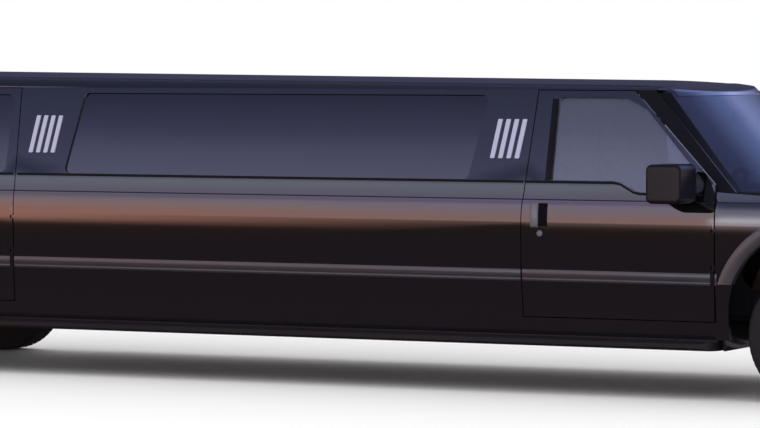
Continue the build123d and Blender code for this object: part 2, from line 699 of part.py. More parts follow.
def inner_half_width(z):
    """Half width of the side wall's inner face at a height."""
    if z <= Z_CREASE:
        return Y_INNER
    if z <= Z_BELT:
        share = (z - Z_CREASE) / (Z_BELT - Z_CREASE)
        return Y_INNER + (Y_BELT - FRAME_THICKNESS - Y_INNER) * share
    share = (z - Z_BELT) / (Z_ROOF_SEAM - Z_BELT)
    return Y_BELT - FRAME_THICKNESS + (Y_ROOF_SEAM - Y_BELT) * share


with BuildPart() as quarter_wall:
    for y, z in SIDE_LOW + SIDE_HIGH:
        x = rear_face(z)
        inner = inner_half_width(z)
        with BuildSketch(Plane.XY.offset(z)):
            with BuildLine():
                Line((X_QUARTER, -y), (x + REAR_CORNER, -y))
                RadiusArc((x + REAR_CORNER, -y), (x, -y + REAR_CORNER), REAR_CORNER)
                Polyline((x, -y + REAR_CORNER), (x, -y + REAR_PILLAR),
                         (x + GATE_THICKNESS, -y + REAR_PILLAR), (x + GATE_THICKNESS, -inner),
                         (X_QUARTER, -inner), (X_QUARTER, -y))
            make_face()
    loft(ruled=True)
rear_arch = arch_opening(X_REAR_AXLE)
rear_lip = arch_lip(X_REAR_AXLE)
quarter_cut = window_cut(QUARTER_WINDOW)
under_tail = block(X_TAIL, X_REAR_AXLE, -Y_WIDEST - 60, 0, 0, Z_REAR_SKIRT)
over_bumper = block(X_TAIL, X_TAIL + REAR_BOW + BUMPER_WRAP + DOOR_GAP, -Y_WIDEST - 60, 0, 0,
                    Z_REAR_BUMPER + DOOR_GAP)
with BuildPart() as quarter:
    add(quarter_wall.part)
    add(rear_opening, mode=Mode.SUBTRACT)
    add(rear_arch, mode=Mode.SUBTRACT)
    add(quarter_cut, mode=Mode.SUBTRACT)
    add(under_tail, mode=Mode.SUBTRACT)
    add(over_bumper, mode=Mode.SUBTRACT)
    add(rear_lip)
write_part(quarter, "rear_quarter_right")
write_part(left_of(quarter.part), "rear_quarter_left")
with BuildPart() as fixed_panes:
    for window in (LONG_WINDOW, QUARTER_WINDOW):
        add(glass_pane(window).part)
write_part(both_sides(fixed_panes.part), "side_glass")

# Liftgate with its window
GATE_ROWS = (Z_GATE, Z_MOULDING, Z_WIDEST, Z_CREASE, Z_BELT, Z_GATE_TOP)
GATE_WINDOW = ((560, Z_BELT + 20), (500, Z_WINDOW_TOP - 30))
with BuildPart() as gate_wall:
    for z in GATE_ROWS:
        x = rear_face(z)
        half = side_half_width(z) - REAR_PILLAR - DOOR_GAP
        with BuildSketch(Plane.XY.offset(z)):
            with BuildLine():
                Polyline((x, -half), (x + GATE_THICKNESS, -half), (x + GATE_THICKNESS, half), (x, half), close=True)
            make_face()
    loft(ruled=True)
with BuildPart() as gate_corner:
    with BuildSketch(Plane.XZ.offset(-1000)):
        with BuildLine():
            Polyline((X_GATE_HINGE, Z_GATE_HINGE + HINGE_EDGE), (X_GATE_HINGE, Z_GATE_HINGE + 60),
                     (X_GATE_HINGE - 60, Z_GATE_HINGE + 60), (X_GATE_HINGE - 60, Z_GATE_HINGE),
                     (X_GATE_HINGE - HINGE_EDGE, Z_GATE_HINGE))
            RadiusArc((X_GATE_HINGE - HINGE_EDGE, Z_GATE_HINGE), (X_GATE_HINGE, Z_GATE_HINGE + HINGE_EDGE), HINGE_EDGE)
        make_face()
    extrude(amount=2000)
(gate_low, gate_low_z), (gate_high, gate_high_z) = GATE_WINDOW
gate_view = ((-gate_low, gate_low_z), (gate_low, gate_low_z), (gate_high, gate_high_z), (-gate_high, gate_high_z))
gate_cut = prism(Plane.YZ.offset(X_TAIL), gate_view, 600)
with BuildPart() as gate_bores:
    for y in (-GATE_HINGE_Y, GATE_HINGE_Y):
        low = y - HINGE_TAB_HEIGHT / 2
        add(rod(across(X_GATE_HINGE, Z_GATE_HINGE, low - TAB_CLEARANCE), GATE_NOTCH,
                HINGE_TAB_HEIGHT + 2 * TAB_CLEARANCE))
        add(rod(across(X_GATE_HINGE, Z_GATE_HINGE, low - HINGE_PIN_REACH - TAB_CLEARANCE),
                HINGE_PIN + PIN_CLEARANCE, HINGE_TAB_HEIGHT + 2 * (HINGE_PIN_REACH + TAB_CLEARANCE)))
with BuildPart() as liftgate:
    add(gate_wall.part)
    add(gate_corner.part, mode=Mode.SUBTRACT)
    add(gate_cut, mode=Mode.SUBTRACT)
    add(gate_bores.part, mode=Mode.SUBTRACT)
write_part(liftgate, "liftgate")
GATE_GLASS_SETBACK = 14
gate_pane_view = prism(Plane.YZ.offset(X_TAIL), grow(gate_view, -GLASS_CLEARANCE), 600)
gate_sheet = side_prism(
    ((rear_face(Z_CREASE) + GATE_GLASS_SETBACK, Z_CREASE), (rear_face(Z_ROOF_SEAM) + GATE_GLASS_SETBACK, Z_ROOF_SEAM),
     (rear_face(Z_ROOF_SEAM) + GATE_GLASS_SETBACK + 6, Z_ROOF_SEAM),
     (rear_face(Z_CREASE) + GATE_GLASS_SETBACK + 6, Z_CREASE)), -900, 900)
with BuildPart() as gate_glass:
    add(gate_sheet)
    add(gate_pane_view, mode=Mode.INTERSECT)
write_part(gate_glass, "liftgate_glass")

# Hood
HOOD_SLOPE = 0.055
HOOD_THICKNESS = 40
HOOD_NOSE = 320
HOOD_NOSE_DROP = 73
X_HOOD_FRONT = X_NOSE - 130
with BuildPart() as hood_sheet:
    with BuildSketch(Plane.YZ.offset(X_HOOD_REAR)):
        with BuildLine():
            for drop in (0, HOOD_THICKNESS):
                ThreePointArc((-HOOD_HALF - 40, HOOD_EDGE_Z - drop), (0, HOOD_EDGE_Z + HOOD_CROWN - drop),
                              (HOOD_HALF + 40, HOOD_EDGE_Z - drop))
            for y in (-HOOD_HALF - 40, HOOD_HALF + 40):
                Line((y, HOOD_EDGE_Z), (y, HOOD_EDGE_Z - HOOD_THICKNESS))
        make_face()
    extrude(amount=(X_HOOD_FRONT - X_HOOD_REAR) * hypot(1, HOOD_SLOPE), dir=(1, 0, -HOOD_SLOPE))
hood_half = [(x, fender_inner(x) - DOOR_GAP) for x in (X_HOOD_REAR, X_FENDER_BEND, X_HOOD_FRONT)]
hood_plan = prism(Plane.XY.offset(Z_FLOOR), [(x, -y) for x, y in hood_half] + [(x, y) for x, y in reversed(hood_half)],
                  1000)
nose_back = (X_HOOD_FRONT - HOOD_NOSE, HOOD_EDGE_Z + 24)
nose_tip = (X_HOOD_FRONT, HOOD_EDGE_Z - HOOD_NOSE_DROP)
with BuildPart() as hood_nose:
    with BuildSketch(Plane.XZ.offset(-1000)):
        with BuildLine():
            ThreePointArc(nose_back, (X_HOOD_FRONT - 0.35 * HOOD_NOSE, HOOD_EDGE_Z - 6), nose_tip)
            Polyline(nose_tip, (nose_tip[0], Z_ROOF_SEAM), (nose_back[0], Z_ROOF_SEAM), nose_back)
        make_face()
    extrude(amount=2000)
with BuildPart() as hood_corner:
    with BuildSketch(Plane.XZ.offset(-1000)):
        with BuildLine():
            Polyline((HOOD_HINGE_X, HOOD_HINGE_Z + HINGE_EDGE), (HOOD_HINGE_X, HOOD_HINGE_Z + 90),
                     (HOOD_HINGE_X - 60, HOOD_HINGE_Z + 90), (HOOD_HINGE_X - 60, HOOD_HINGE_Z),
                     (HOOD_HINGE_X - HINGE_EDGE, HOOD_HINGE_Z))
            RadiusArc((HOOD_HINGE_X - HINGE_EDGE, HOOD_HINGE_Z), (HOOD_HINGE_X, HOOD_HINGE_Z + HINGE_EDGE), HINGE_EDGE)
        make_face()
    extrude(amount=2000)
with BuildPart() as hood_bores:
    for y in (-HOOD_HINGE_Y, HOOD_HINGE_Y):
        low = y - HINGE_TAB_HEIGHT / 2
        add(rod(across(HOOD_HINGE_X, HOOD_HINGE_Z, low - TAB_CLEARANCE), HINGE_NOTCH,
                HINGE_TAB_HEIGHT + 2 * TAB_CLEARANCE))
        add(rod(across(HOOD_HINGE_X, HOOD_HINGE_Z, low - HINGE_PIN_REACH - TAB_CLEARANCE),
                HINGE_PIN + PIN_CLEARANCE, HINGE_TAB_HEIGHT + 2 * (HINGE_PIN_REACH + TAB_CLEARANCE)))
with BuildPart() as hood:
    add(hood_sheet.part)
    add(hood_plan, mode=Mode.INTERSECT)
    add(hood_nose.part, mode=Mode.SUBTRACT)
    add(hood_corner.part, mode=Mode.SUBTRACT)
    add(hood_bores.part, mode=Mode.SUBTRACT)
write_part(hood, "hood")

# Floor pan with the rear wheel houses
FLOOR_HALF = Y_INNER - 8
HOUSE_RADIUS = ARCH_RADIUS + LINER_ROOM
Y_HOUSE = REAR_TRACK / 2 - TYRE_WIDTH / 2 - 60
X_FLOOR_REAR = X_REAR_FACE + GATE_THICKNESS + 20
X_FLOOR_FRONT = X_FENDER + 2 + FIREWALL
floor_plate = block(X_FLOOR_REAR, X_FLOOR_FRONT, -FLOOR_HALF, FLOOR_HALF, Z_FLOOR, Z_FLOOR + FLOOR_THICKNESS)
house_drum = rod(across(X_REAR_AXLE, Z_ARCH, -FLOOR_HALF), HOUSE_RADIUS + LINER_THICKNESS,
                 FLOOR_HALF - Y_HOUSE + LINER_THICKNESS)
house_room = rod(across(X_REAR_AXLE, Z_ARCH, -FLOOR_HALF - 10), HOUSE_RADIUS, FLOOR_HALF + 10 - Y_HOUSE)
under_floor = block(X_REAR_AXLE - 900, X_REAR_AXLE + 900, -Y_WIDEST, Y_WIDEST, -400, Z_FLOOR)
with BuildPart() as right_house:
    add(house_drum)
    add(under_floor, mode=Mode.SUBTRACT)
houses = both_sides(right_house.part)
rooms = both_sides(house_room)
with BuildPart() as floor_pan:
    add(floor_plate)
    add(houses.part)
    add(rooms.part, mode=Mode.SUBTRACT)
write_part(floor_pan, "floor_pan")

# Ladder frame
CROSSMEMBERS = (
    X_RAIL_FRONT - 90,
    X_STRETCH + 267,
    X_STRETCH - STRETCH / 3,
    X_STRETCH - 2 * STRETCH / 3,
    X_REAR_DOOR - 33,
    X_REAR_AXLE + 395,
    X_REAR_AXLE - 420,
    X_RAIL_REAR + 60,
)
CROSS_WIDTH = 70
CROSS_LOW = 60
CROSS_HEIGHT = 60
RAIL_INNER = RAIL_OUTER - RAIL_WIDTH
JACK_STATIONS = (X_DOOR - 495, X_REAR_DOOR - 233)
PAD_LENGTH = 110
PAD_WIDTH = 56
PAD_DEPTH = 15
with BuildPart() as frame:
    for y in (-RAIL_OUTER, RAIL_INNER):
        add(block(X_RAIL_REAR, X_RAIL_FRONT, y, y + RAIL_WIDTH, Z_RAIL, Z_FLOOR))
    for x in CROSSMEMBERS:
        add(block(x - CROSS_WIDTH / 2, x + CROSS_WIDTH / 2, -RAIL_INNER, RAIL_INNER,
                  Z_RAIL + CROSS_LOW, Z_RAIL + CROSS_LOW + CROSS_HEIGHT))
    for x in JACK_STATIONS:
        for y in (-RAIL_OUTER + RAIL_WIDTH / 2, RAIL_OUTER - RAIL_WIDTH / 2):
            add(block(x - PAD_LENGTH / 2, x + PAD_LENGTH / 2, y - PAD_WIDTH / 2, y + PAD_WIDTH / 2,
                      Z_RAIL - PAD_DEPTH, Z_RAIL))
write_part(frame, "chassis_frame")

# Axles with their leaf springs, and the steering knuckles
AXLE_LOW = TYRE_RADIUS - 50
AXLE_HIGH = TYRE_RADIUS + 50
SPRING_LENGTH = 1250
SPRING_WIDTH = 62
SPRING_Y = RAIL_OUTER - RAIL_WIDTH / 2
BOSS_RADIUS = 34
KINGPIN_RADIUS = 14
KNUCKLE_PLATE = 22
KNUCKLE_GAP = 5
HUB_HALF = 62
HUB_INNER = 50
SPINDLE_END = 40
with BuildPart() as front_axle:
    add(block(X_FRONT_AXLE - 40, X_FRONT_AXLE + 40, -KINGPIN_Y + 60, KINGPIN_Y - 60, AXLE_LOW, AXLE_HIGH))
    for y in (-KINGPIN_Y, KINGPIN_Y):
        add(rod(upward(X_FRONT_AXLE, y, AXLE_LOW), BOSS_RADIUS, AXLE_HIGH - AXLE_LOW))
        inward = y - 62 if y > 0 else y
        add(block(X_FRONT_AXLE - 28, X_FRONT_AXLE + 28, inward, inward + 62, AXLE_LOW, AXLE_HIGH))
    for y in (-SPRING_Y, SPRING_Y):
        add(block(X_FRONT_AXLE - SPRING_LENGTH / 2, X_FRONT_AXLE + SPRING_LENGTH / 2,
                  y - SPRING_WIDTH / 2, y + SPRING_WIDTH / 2, AXLE_HIGH, Z_RAIL))
    for y in (-KINGPIN_Y, KINGPIN_Y):
        add(rod(upward(X_FRONT_AXLE, y, AXLE_LOW - 10), KINGPIN_RADIUS + PIN_CLEARANCE,
                AXLE_HIGH - AXLE_LOW + 20), mode=Mode.SUBTRACT)
write_part(front_axle, "front_axle")

plate_low = AXLE_LOW - KNUCKLE_GAP - KNUCKLE_PLATE
plate_high = AXLE_HIGH + KNUCKLE_GAP
web_y = KINGPIN_Y + BOSS_RADIUS + KNUCKLE_GAP + 1
spindle_y = FRONT_TRACK / 2 + SPINDLE_END
with BuildPart() as knuckle:
    add(rod(upward(X_FRONT_AXLE, -KINGPIN_Y, plate_low), KINGPIN_RADIUS,
            plate_high + KNUCKLE_PLATE - plate_low))
    for z in (plate_low, plate_high):
        add(rod(upward(X_FRONT_AXLE, -KINGPIN_Y, z), BOSS_RADIUS, KNUCKLE_PLATE))
        add(block(X_FRONT_AXLE - BOSS_RADIUS, X_FRONT_AXLE + BOSS_RADIUS, -web_y - 6, -KINGPIN_Y,
                  z, z + KNUCKLE_PLATE))
    add(block(X_FRONT_AXLE - BOSS_RADIUS, X_FRONT_AXLE + BOSS_RADIUS, -web_y - 6, -web_y,
              plate_low, plate_high + KNUCKLE_PLATE))
    add(rod(across(X_FRONT_AXLE, TYRE_RADIUS, -spindle_y), SPINDLE_RADIUS, spindle_y - web_y))
write_part(knuckle, "knuckle_right")
write_part(left_of(knuckle.part), "knuckle_left")

DIFF_RADIUS = 150
DIFF_HALF = 110
PINION_X = 175
SHAFT_Z = 490
SHAFT_RADIUS = 42
tube_half = REAR_TRACK / 2 - HUB_HALF - 8
with BuildPart() as rear_axle:
    add(rod(across(X_REAR_AXLE, TYRE_RADIUS, -tube_half), 52, 2 * tube_half))
    add(rod(across(X_REAR_AXLE, TYRE_RADIUS, -REAR_TRACK / 2 - SPINDLE_END), SPINDLE_RADIUS,
            REAR_TRACK + 2 * SPINDLE_END))
    add(rod(across(X_REAR_AXLE, TYRE_RADIUS, -DIFF_HALF), DIFF_RADIUS, 2 * DIFF_HALF))
    add(block(X_REAR_AXLE, X_REAR_AXLE + PINION_X, -70, 70, SHAFT_Z - 60, SHAFT_Z + 45))
    for y in (-SPRING_Y, SPRING_Y):
        add(block(X_REAR_AXLE - SPRING_LENGTH / 2, X_REAR_AXLE + SPRING_LENGTH / 2,
                  y - SPRING_WIDTH / 2, y + SPRING_WIDTH / 2, AXLE_HIGH - 6, Z_RAIL))
write_part(rear_axle, "rear_axle")

# Wheels: rim and tyre profiles as (outward, radius)
TYRE_PROFILE = ((-119, RIM_RADIUS + 0.2), (-TYRE_WIDTH / 2, 280), (-118, TYRE_RADIUS - 17), (-92, TYRE_RADIUS),
                (92, TYRE_RADIUS), (118, TYRE_RADIUS - 17), (TYRE_WIDTH / 2, 280), (119, RIM_RADIUS + 0.2))
HUB_BORE = SPINDLE_RADIUS + SPINDLE_CLEARANCE
RIM_PROFILE = ((-HUB_INNER, HUB_BORE), (HUB_HALF, HUB_BORE), (HUB_HALF, 62), (48, 80), (40, 178), (60, 190),
               (122.5, 196), (122.5, 204), (134, 204), (134, 218), (122.5, 218), (122.5, RIM_RADIUS),
               (-122.5, RIM_RADIUS), (-122.5, 218), (-134, 218), (-134, 190), (10, 186), (14, 80),
               (-HUB_INNER, 72))
RIM_WINDOWS = 8
RIM_WINDOW_RADIUS = 26
RIM_WINDOW_CIRCLE = 134
WHEELS = (
    # name, station, track
    ("front", X_FRONT_AXLE, FRONT_TRACK),
    ("rear", X_REAR_AXLE, REAR_TRACK),
)
for name, x, track in WHEELS:
    wheel_plane = Plane(origin=(x, -track / 2, TYRE_RADIUS), x_dir=(0, -1, 0), z_dir=(1, 0, 0))
    spin_axis = Axis((x, 0, TYRE_RADIUS), (0, 1, 0))
    with BuildPart() as tyre:
        with BuildSketch(wheel_plane):
            with BuildLine():
                Polyline(*[(a, -r) for a, r in TYRE_PROFILE], close=True)
            make_face()
        revolve(axis=spin_axis)
    write_part(tyre, f"tyre_{name}_right")
    write_part(left_of(tyre.part), f"tyre_{name}_left")
    with BuildPart() as rim:
        with BuildSketch(wheel_plane):
            with BuildLine():
                Polyline(*[(a, -r) for a, r in RIM_PROFILE], close=True)
            make_face()
        revolve(axis=spin_axis)
        with BuildSketch(across(x, TYRE_RADIUS, -track / 2 - 100)):
            with PolarLocations(RIM_WINDOW_CIRCLE, RIM_WINDOWS):
                Circle(RIM_WINDOW_RADIUS)
        extrude(amount=120, mode=Mode.SUBTRACT)
    write_part(rim, f"rim_{name}_right")
    write_part(left_of(rim.part), f"rim_{name}_left")


# Bumpers: a bowed bar with wrapped ends on brackets to the rails
BRACKET_LOW = 540
BRACKET_HIGH = 615
BUMPERS = (
    # name, face, direction, low, high, bow, end of the rails
    ("front_bumper", X_NOSE, 1, 500, Z_BUMPER_TOP - 5, FRONT_BOW, X_RAIL_FRONT),
    ("rear_bumper", X_TAIL, -1, 445, Z_REAR_BUMPER, REAR_BOW, X_RAIL_REAR),
)
for name, face, way, low, high, bow, rail_end in BUMPERS:
    inner_face = face - way * BUMPER_WALL
    with BuildPart() as bumper:
        with BuildSketch(Plane.XY.offset(low)):
            with BuildLine():
                ThreePointArc((face - way * bow, -BUMPER_HALF), (face, 0), (face - way * bow, BUMPER_HALF))
                ThreePointArc((inner_face - way * bow, -BUMPER_HALF + BUMPER_WALL), (inner_face, 0),
                              (inner_face - way * bow, BUMPER_HALF - BUMPER_WALL))
                for side in (-1, 1):
                    Polyline((face - way * bow, side * BUMPER_HALF),
                             (face - way * (bow + BUMPER_WRAP), side * (BUMPER_HALF + 12)),
                             (face - way * (bow + BUMPER_WRAP), side * (BUMPER_HALF - BUMPER_WALL + 12)),
                             (inner_face - way * bow, side * (BUMPER_HALF - BUMPER_WALL)))
            make_face()
        extrude(amount=high - low)
        for y in (-SPRING_Y, SPRING_Y):
            reach = sorted((rail_end, face - way * (BUMPER_WALL + bow * (SPRING_Y / BUMPER_HALF) ** 2 - 20)))
            add(block(reach[0], reach[1], y - 30, y + 30, BRACKET_LOW, BRACKET_HIGH))
    write_part(bumper, name)

# Nose panel between the fenders, with the grille and lamps on it
X_NOSE_PANEL = X_NOSE - 175
NOSE_PANEL = 45
Z_NOSE_TOP = 1135
with BuildPart() as nose_panel:
    with BuildSketch(Plane.XY.offset(Z_BUMPER_TOP + 5)):
        with BuildLine():
            back, front = X_NOSE_PANEL - NOSE_PANEL, X_NOSE_PANEL
            Polyline((back, -fender_inner(back)), (front, -fender_inner(front)), (front, fender_inner(front)),
                     (back, fender_inner(back)), close=True)
        make_face()
    extrude(amount=Z_NOSE_TOP - Z_BUMPER_TOP - 5)
    add(block(X_NOSE_PANEL - 60, X_NOSE_PANEL + 10, -400, 400, 815, 1080), mode=Mode.SUBTRACT)
write_part(nose_panel, "nose_panel")

GRILLE_HALF = 470
GRILLE_LOW = 785
GRILLE_HIGH = 1130
GRILLE_DEPTH = 70
GRILLE_FRAME = 36
GRILLE_BARS = 4
GRILLE_BAR = 16
with BuildPart() as grille:
    add(block(X_NOSE_PANEL, X_NOSE_PANEL + GRILLE_DEPTH, -GRILLE_HALF, GRILLE_HALF, GRILLE_LOW, GRILLE_HIGH))
    add(block(X_NOSE_PANEL - 10, X_NOSE_PANEL + GRILLE_DEPTH + 10, -GRILLE_HALF + GRILLE_FRAME,
              GRILLE_HALF - GRILLE_FRAME, GRILLE_LOW + GRILLE_FRAME, GRILLE_HIGH - GRILLE_FRAME),
        mode=Mode.SUBTRACT)
    pitch = (GRILLE_HIGH - GRILLE_LOW - 2 * GRILLE_FRAME) / (GRILLE_BARS + 1)
    for i in range(GRILLE_BARS):
        z = GRILLE_LOW + GRILLE_FRAME + pitch * (i + 1)
        add(block(X_NOSE_PANEL + 15, X_NOSE_PANEL + GRILLE_DEPTH - 12, -GRILLE_HALF + 10, GRILLE_HALF - 10,
                  z - GRILLE_BAR / 2, z + GRILLE_BAR / 2))
write_part(grille, "grille")

LAMP_LOW = 825
LAMP_HIGH = 1110
with BuildPart() as lamp:
    with BuildSketch(Plane.XY.offset(LAMP_LOW)):
        with BuildLine():
            outer_y = fender_inner(X_FENDER_FRONT) - 1
            Line((X_NOSE_PANEL, -outer_y), (X_NOSE_PANEL, -GRILLE_HALF - 4))
            Line((X_NOSE_PANEL, -GRILLE_HALF - 4), (X_NOSE_PANEL + 62, -GRILLE_HALF - 4))
            ThreePointArc((X_NOSE_PANEL + 62, -GRILLE_HALF - 4),
                          (X_NOSE_PANEL + 54, (-GRILLE_HALF - outer_y) / 2), (X_FENDER_FRONT, -outer_y))
            Line((X_FENDER_FRONT, -outer_y), (X_NOSE_PANEL, -outer_y))
        make_face()
    extrude(amount=LAMP_HIGH - LAMP_LOW)
write_part(both_sides(lamp.part), "head_lamps")

TAIL_LAMP_LOW = 880
TAIL_LAMP_HIGH = 1170
TAIL_LAMP_WIDTH = 74
TAIL_LAMP_STAND = 22
tail_y = Y_WIDEST - REAR_PILLAR + 6
tail_lamp = block(X_REAR_FACE - TAIL_LAMP_STAND, X_REAR_FACE, -tail_y - TAIL_LAMP_WIDTH, -tail_y,
                  TAIL_LAMP_LOW, TAIL_LAMP_HIGH)
write_part(both_sides(tail_lamp), "tail_lamps")

# Running boards under the sills
BOARD_LOW = 300
BOARD_OUTER = 1032
BOARD_INNER = 880
BOARD_CORNER = 110
X_BOARD_REAR = X_QUARTER + 20
X_BOARD_FRONT = X_DOOR + 10
board = prism(Plane.YZ.offset(X_BOARD_REAR),
              ((-BOARD_INNER, BOARD_LOW), (-BOARD_OUTER + 22, BOARD_LOW), (-BOARD_OUTER, BOARD_LOW + 16),
               (-BOARD_OUTER, Z_SILL - 24), (-BOARD_OUTER + 14, Z_SILL - 12), (-Y_SILL - 4, Z_SILL - 12),
               (-Y_SILL - 4, Z_SILL), (-BOARD_INNER, Z_SILL)),
              X_BOARD_FRONT - X_BOARD_REAR)
with BuildPart() as board_plan:
    with BuildSketch():
        with BuildLine():
            Polyline((X_BOARD_REAR, -BOARD_OUTER + BOARD_CORNER), (X_BOARD_REAR, -BOARD_INNER),
                     (X_BOARD_FRONT, -BOARD_INNER), (X_BOARD_FRONT, -BOARD_OUTER + BOARD_CORNER))
            RadiusArc((X_BOARD_FRONT, -BOARD_OUTER + BOARD_CORNER),
                      (X_BOARD_FRONT - BOARD_CORNER, -BOARD_OUTER), BOARD_CORNER)
            Line((X_BOARD_FRONT - BOARD_CORNER, -BOARD_OUTER), (X_BOARD_REAR + BOARD_CORNER, -BOARD_OUTER))
            RadiusArc((X_BOARD_REAR + BOARD_CORNER, -BOARD_OUTER),
                      (X_BOARD_REAR, -BOARD_OUTER + BOARD_CORNER), BOARD_CORNER)
        make_face()
    extrude(amount=Z_SILL)
with BuildPart() as right_board:
    add(board)
    add(board_plan.part, mode=Mode.INTERSECT)
write_part(both_sides(right_board.part), "running_boards")

# Louvre bars on the opera panels beside the long window
BAR_LOW = 1436
BAR_HIGH = 1676
BAR_WIDTH = 30
BAR_PITCH = 55
BAR_COUNT = 4
BAR_STAND = 9
BAR_CORNER = 6
BAR_LEAN = tan(radians(7.5))
FRONT_BARS = 128
REAR_BARS = 186
with BuildPart() as louvres:
    for centre in (X_STRETCH - FRONT_BARS, X_REAR_DOOR + REAR_BARS):
        for i in range(BAR_COUNT):
            x = centre + (i - (BAR_COUNT - 1) / 2) * BAR_PITCH
            lean = (BAR_HIGH - BAR_LOW) * BAR_LEAN / 2
            outline = ((x - BAR_WIDTH / 2 - lean, BAR_LOW), (x + BAR_WIDTH / 2 - lean, BAR_LOW),
                       (x + BAR_WIDTH / 2 + lean, BAR_HIGH), (x - BAR_WIDTH / 2 + lean, BAR_HIGH))
            add(glass_pane(outline, -BAR_STAND, BAR_STAND, BAR_CORNER).part)
write_part(both_sides(louvres.part), "louvre_bars")

# Engine with gearbox, propeller shaft, exhaust and fuel tank
X_ENGINE = X_FRONT_AXLE - 365
ENGINE_LENGTH = 800
ENGINE_HALF = 300
ENGINE_MOUNT = 100
Z_ENGINE_TOP = 1085
GEARBOX_HALF = 150
GEARBOX_LENGTH = 830
X_GEARBOX = X_ENGINE - GEARBOX_LENGTH
with BuildPart() as engine:
    add(block(X_ENGINE, X_ENGINE + ENGINE_LENGTH, -ENGINE_HALF, ENGINE_HALF, AXLE_HIGH + 60, Z_ENGINE_TOP))
    add(block(X_GEARBOX, X_ENGINE, -GEARBOX_HALF, GEARBOX_HALF, SHAFT_Z - 50, Z_FLOOR - 10))
    for y in (-RAIL_INNER, RAIL_INNER - ENGINE_MOUNT):
        add(block(X_FRONT_AXLE - 30, X_FRONT_AXLE + 30, y, y + ENGINE_MOUNT, Z_RAIL + 50, Z_RAIL + 110))
write_part(engine, "engine_and_gearbox")

with BuildPart() as shaft:
    add(rod(Plane(origin=(X_REAR_AXLE + PINION_X, 0, SHAFT_Z), x_dir=(0, 1, 0), z_dir=(1, 0, 0)), SHAFT_RADIUS,
            X_GEARBOX - X_REAR_AXLE - PINION_X))
write_part(shaft, "propeller_shaft")

EXHAUST_Z = 432
EXHAUST_Y = -620
PIPE_RADIUS = 32
MUFFLER_RADIUS = 78
X_PIPE_FRONT = X_DOOR - 60
X_PIPE_REAR = X_QUARTER + 60
with BuildPart() as exhaust:
    with BuildLine() as pipe_route:
        FilletPolyline((X_PIPE_FRONT, -200, EXHAUST_Z), (X_PIPE_FRONT, EXHAUST_Y, EXHAUST_Z),
                       (X_PIPE_REAR, EXHAUST_Y, EXHAUST_Z), (X_PIPE_REAR - 60, EXHAUST_Y - 190, EXHAUST_Z), radius=140)
    with BuildSketch(Plane(origin=(X_PIPE_FRONT, -200, EXHAUST_Z), x_dir=(1, 0, 0), z_dir=(0, -1, 0))):
        Circle(PIPE_RADIUS)
    sweep(path=pipe_route.line)
    add(rod(Plane(origin=(-350, EXHAUST_Y, EXHAUST_Z), x_dir=(0, 1, 0), z_dir=(1, 0, 0)), MUFFLER_RADIUS, 800))
    for x in (X_PIPE_FRONT - 500, 50, X_PIPE_REAR + 300):
        add(block(x - 15, x + 15, EXHAUST_Y - 15, EXHAUST_Y + 15, EXHAUST_Z, Z_FLOOR))
    add(block(X_PIPE_FRONT - 20, X_PIPE_FRONT + 20, -230, -200, EXHAUST_Z, Z_FLOOR))
write_part(exhaust, "exhaust")

TANK_LENGTH = 1150
TANK_WIDTH = 360
TANK_LOW = 385
TANK_HIGH = 600
TANK_CORNER = 40
X_TANK = X_REAR_DOOR + 67
with BuildPart() as fuel_tank:
    add(block(X_TANK, X_TANK + TANK_LENGTH, RAIL_OUTER, RAIL_OUTER + TANK_WIDTH, TANK_LOW, TANK_HIGH))
    fillet(fuel_tank.edges().filter_by(Axis.X), radius=TANK_CORNER)
write_part(fuel_tank, "fuel_tank")

# Inside: partition, dashboard, steering wheel, seats and bar
Z_DECK = Z_FLOOR + FLOOR_THICKNESS
X_PARTITION = X_STRETCH - 120
TRIM_GAP = 10
partition_side = [(inner_half_width(z) - TRIM_GAP, z) for z in (Z_DECK, Z_CREASE, Z_BELT, Z_ROOF_SEAM - 20)]
partition_wall = prism(Plane.YZ.offset(X_PARTITION),
                       [(-y, z) for y, z in partition_side] + [(y, z) for y, z in reversed(partition_side)], 50)
with BuildPart() as partition:
    add(partition_wall)
    add(block(X_PARTITION - 10, X_PARTITION + 60, -480, 480, Z_BELT - 60, Z_WINDOW_TOP - 130), mode=Mode.SUBTRACT)
write_part(partition, "partition")

DASH_HALF = Y_INNER - 60
X_DASH = X_FENDER + 2
DASH_DEPTH = 345
DASH_HEIGHT = 268
Z_DASH = Z_COWL - 290
DASH_VIEW = (
    # share of the depth, share of the height
    (0, 0), (0, 0.95), (0.55, 1), (0.96, 0.86), (1, 0.45), (0.7, 0),
)
dash_view = side_prism([(X_DASH - DASH_DEPTH * a, Z_DASH + DASH_HEIGHT * b) for a, b in DASH_VIEW], -DASH_HALF, DASH_HALF)
with BuildPart() as dashboard:
    add(dash_view)
write_part(dashboard, "dashboard")

DRIVER_Y = 420
WHEEL_TILT = 25
WHEEL_RING = 188
X_WHEEL = X_DASH - 470
Z_WHEEL = 1180
column_way = (cos(radians(WHEEL_TILT)), 0, -sin(radians(WHEEL_TILT)))
wheel_face = Plane(origin=(X_WHEEL, DRIVER_Y, Z_WHEEL), x_dir=(0, 1, 0), z_dir=column_way)
with BuildPart() as wheel_column:
    with BuildSketch(wheel_face):
        Circle(32)
    extrude(amount=260)
with BuildPart() as steering_wheel:
    with BuildSketch(wheel_face):
        Circle(WHEEL_RING + 15)
        Circle(WHEEL_RING - 15, mode=Mode.SUBTRACT)
        Circle(70)
        Rectangle(2 * WHEEL_RING, 36)
    extrude(amount=26)
    add(wheel_column.part)
    add(dash_view, mode=Mode.SUBTRACT)
write_part(steering_wheel, "steering_wheel")

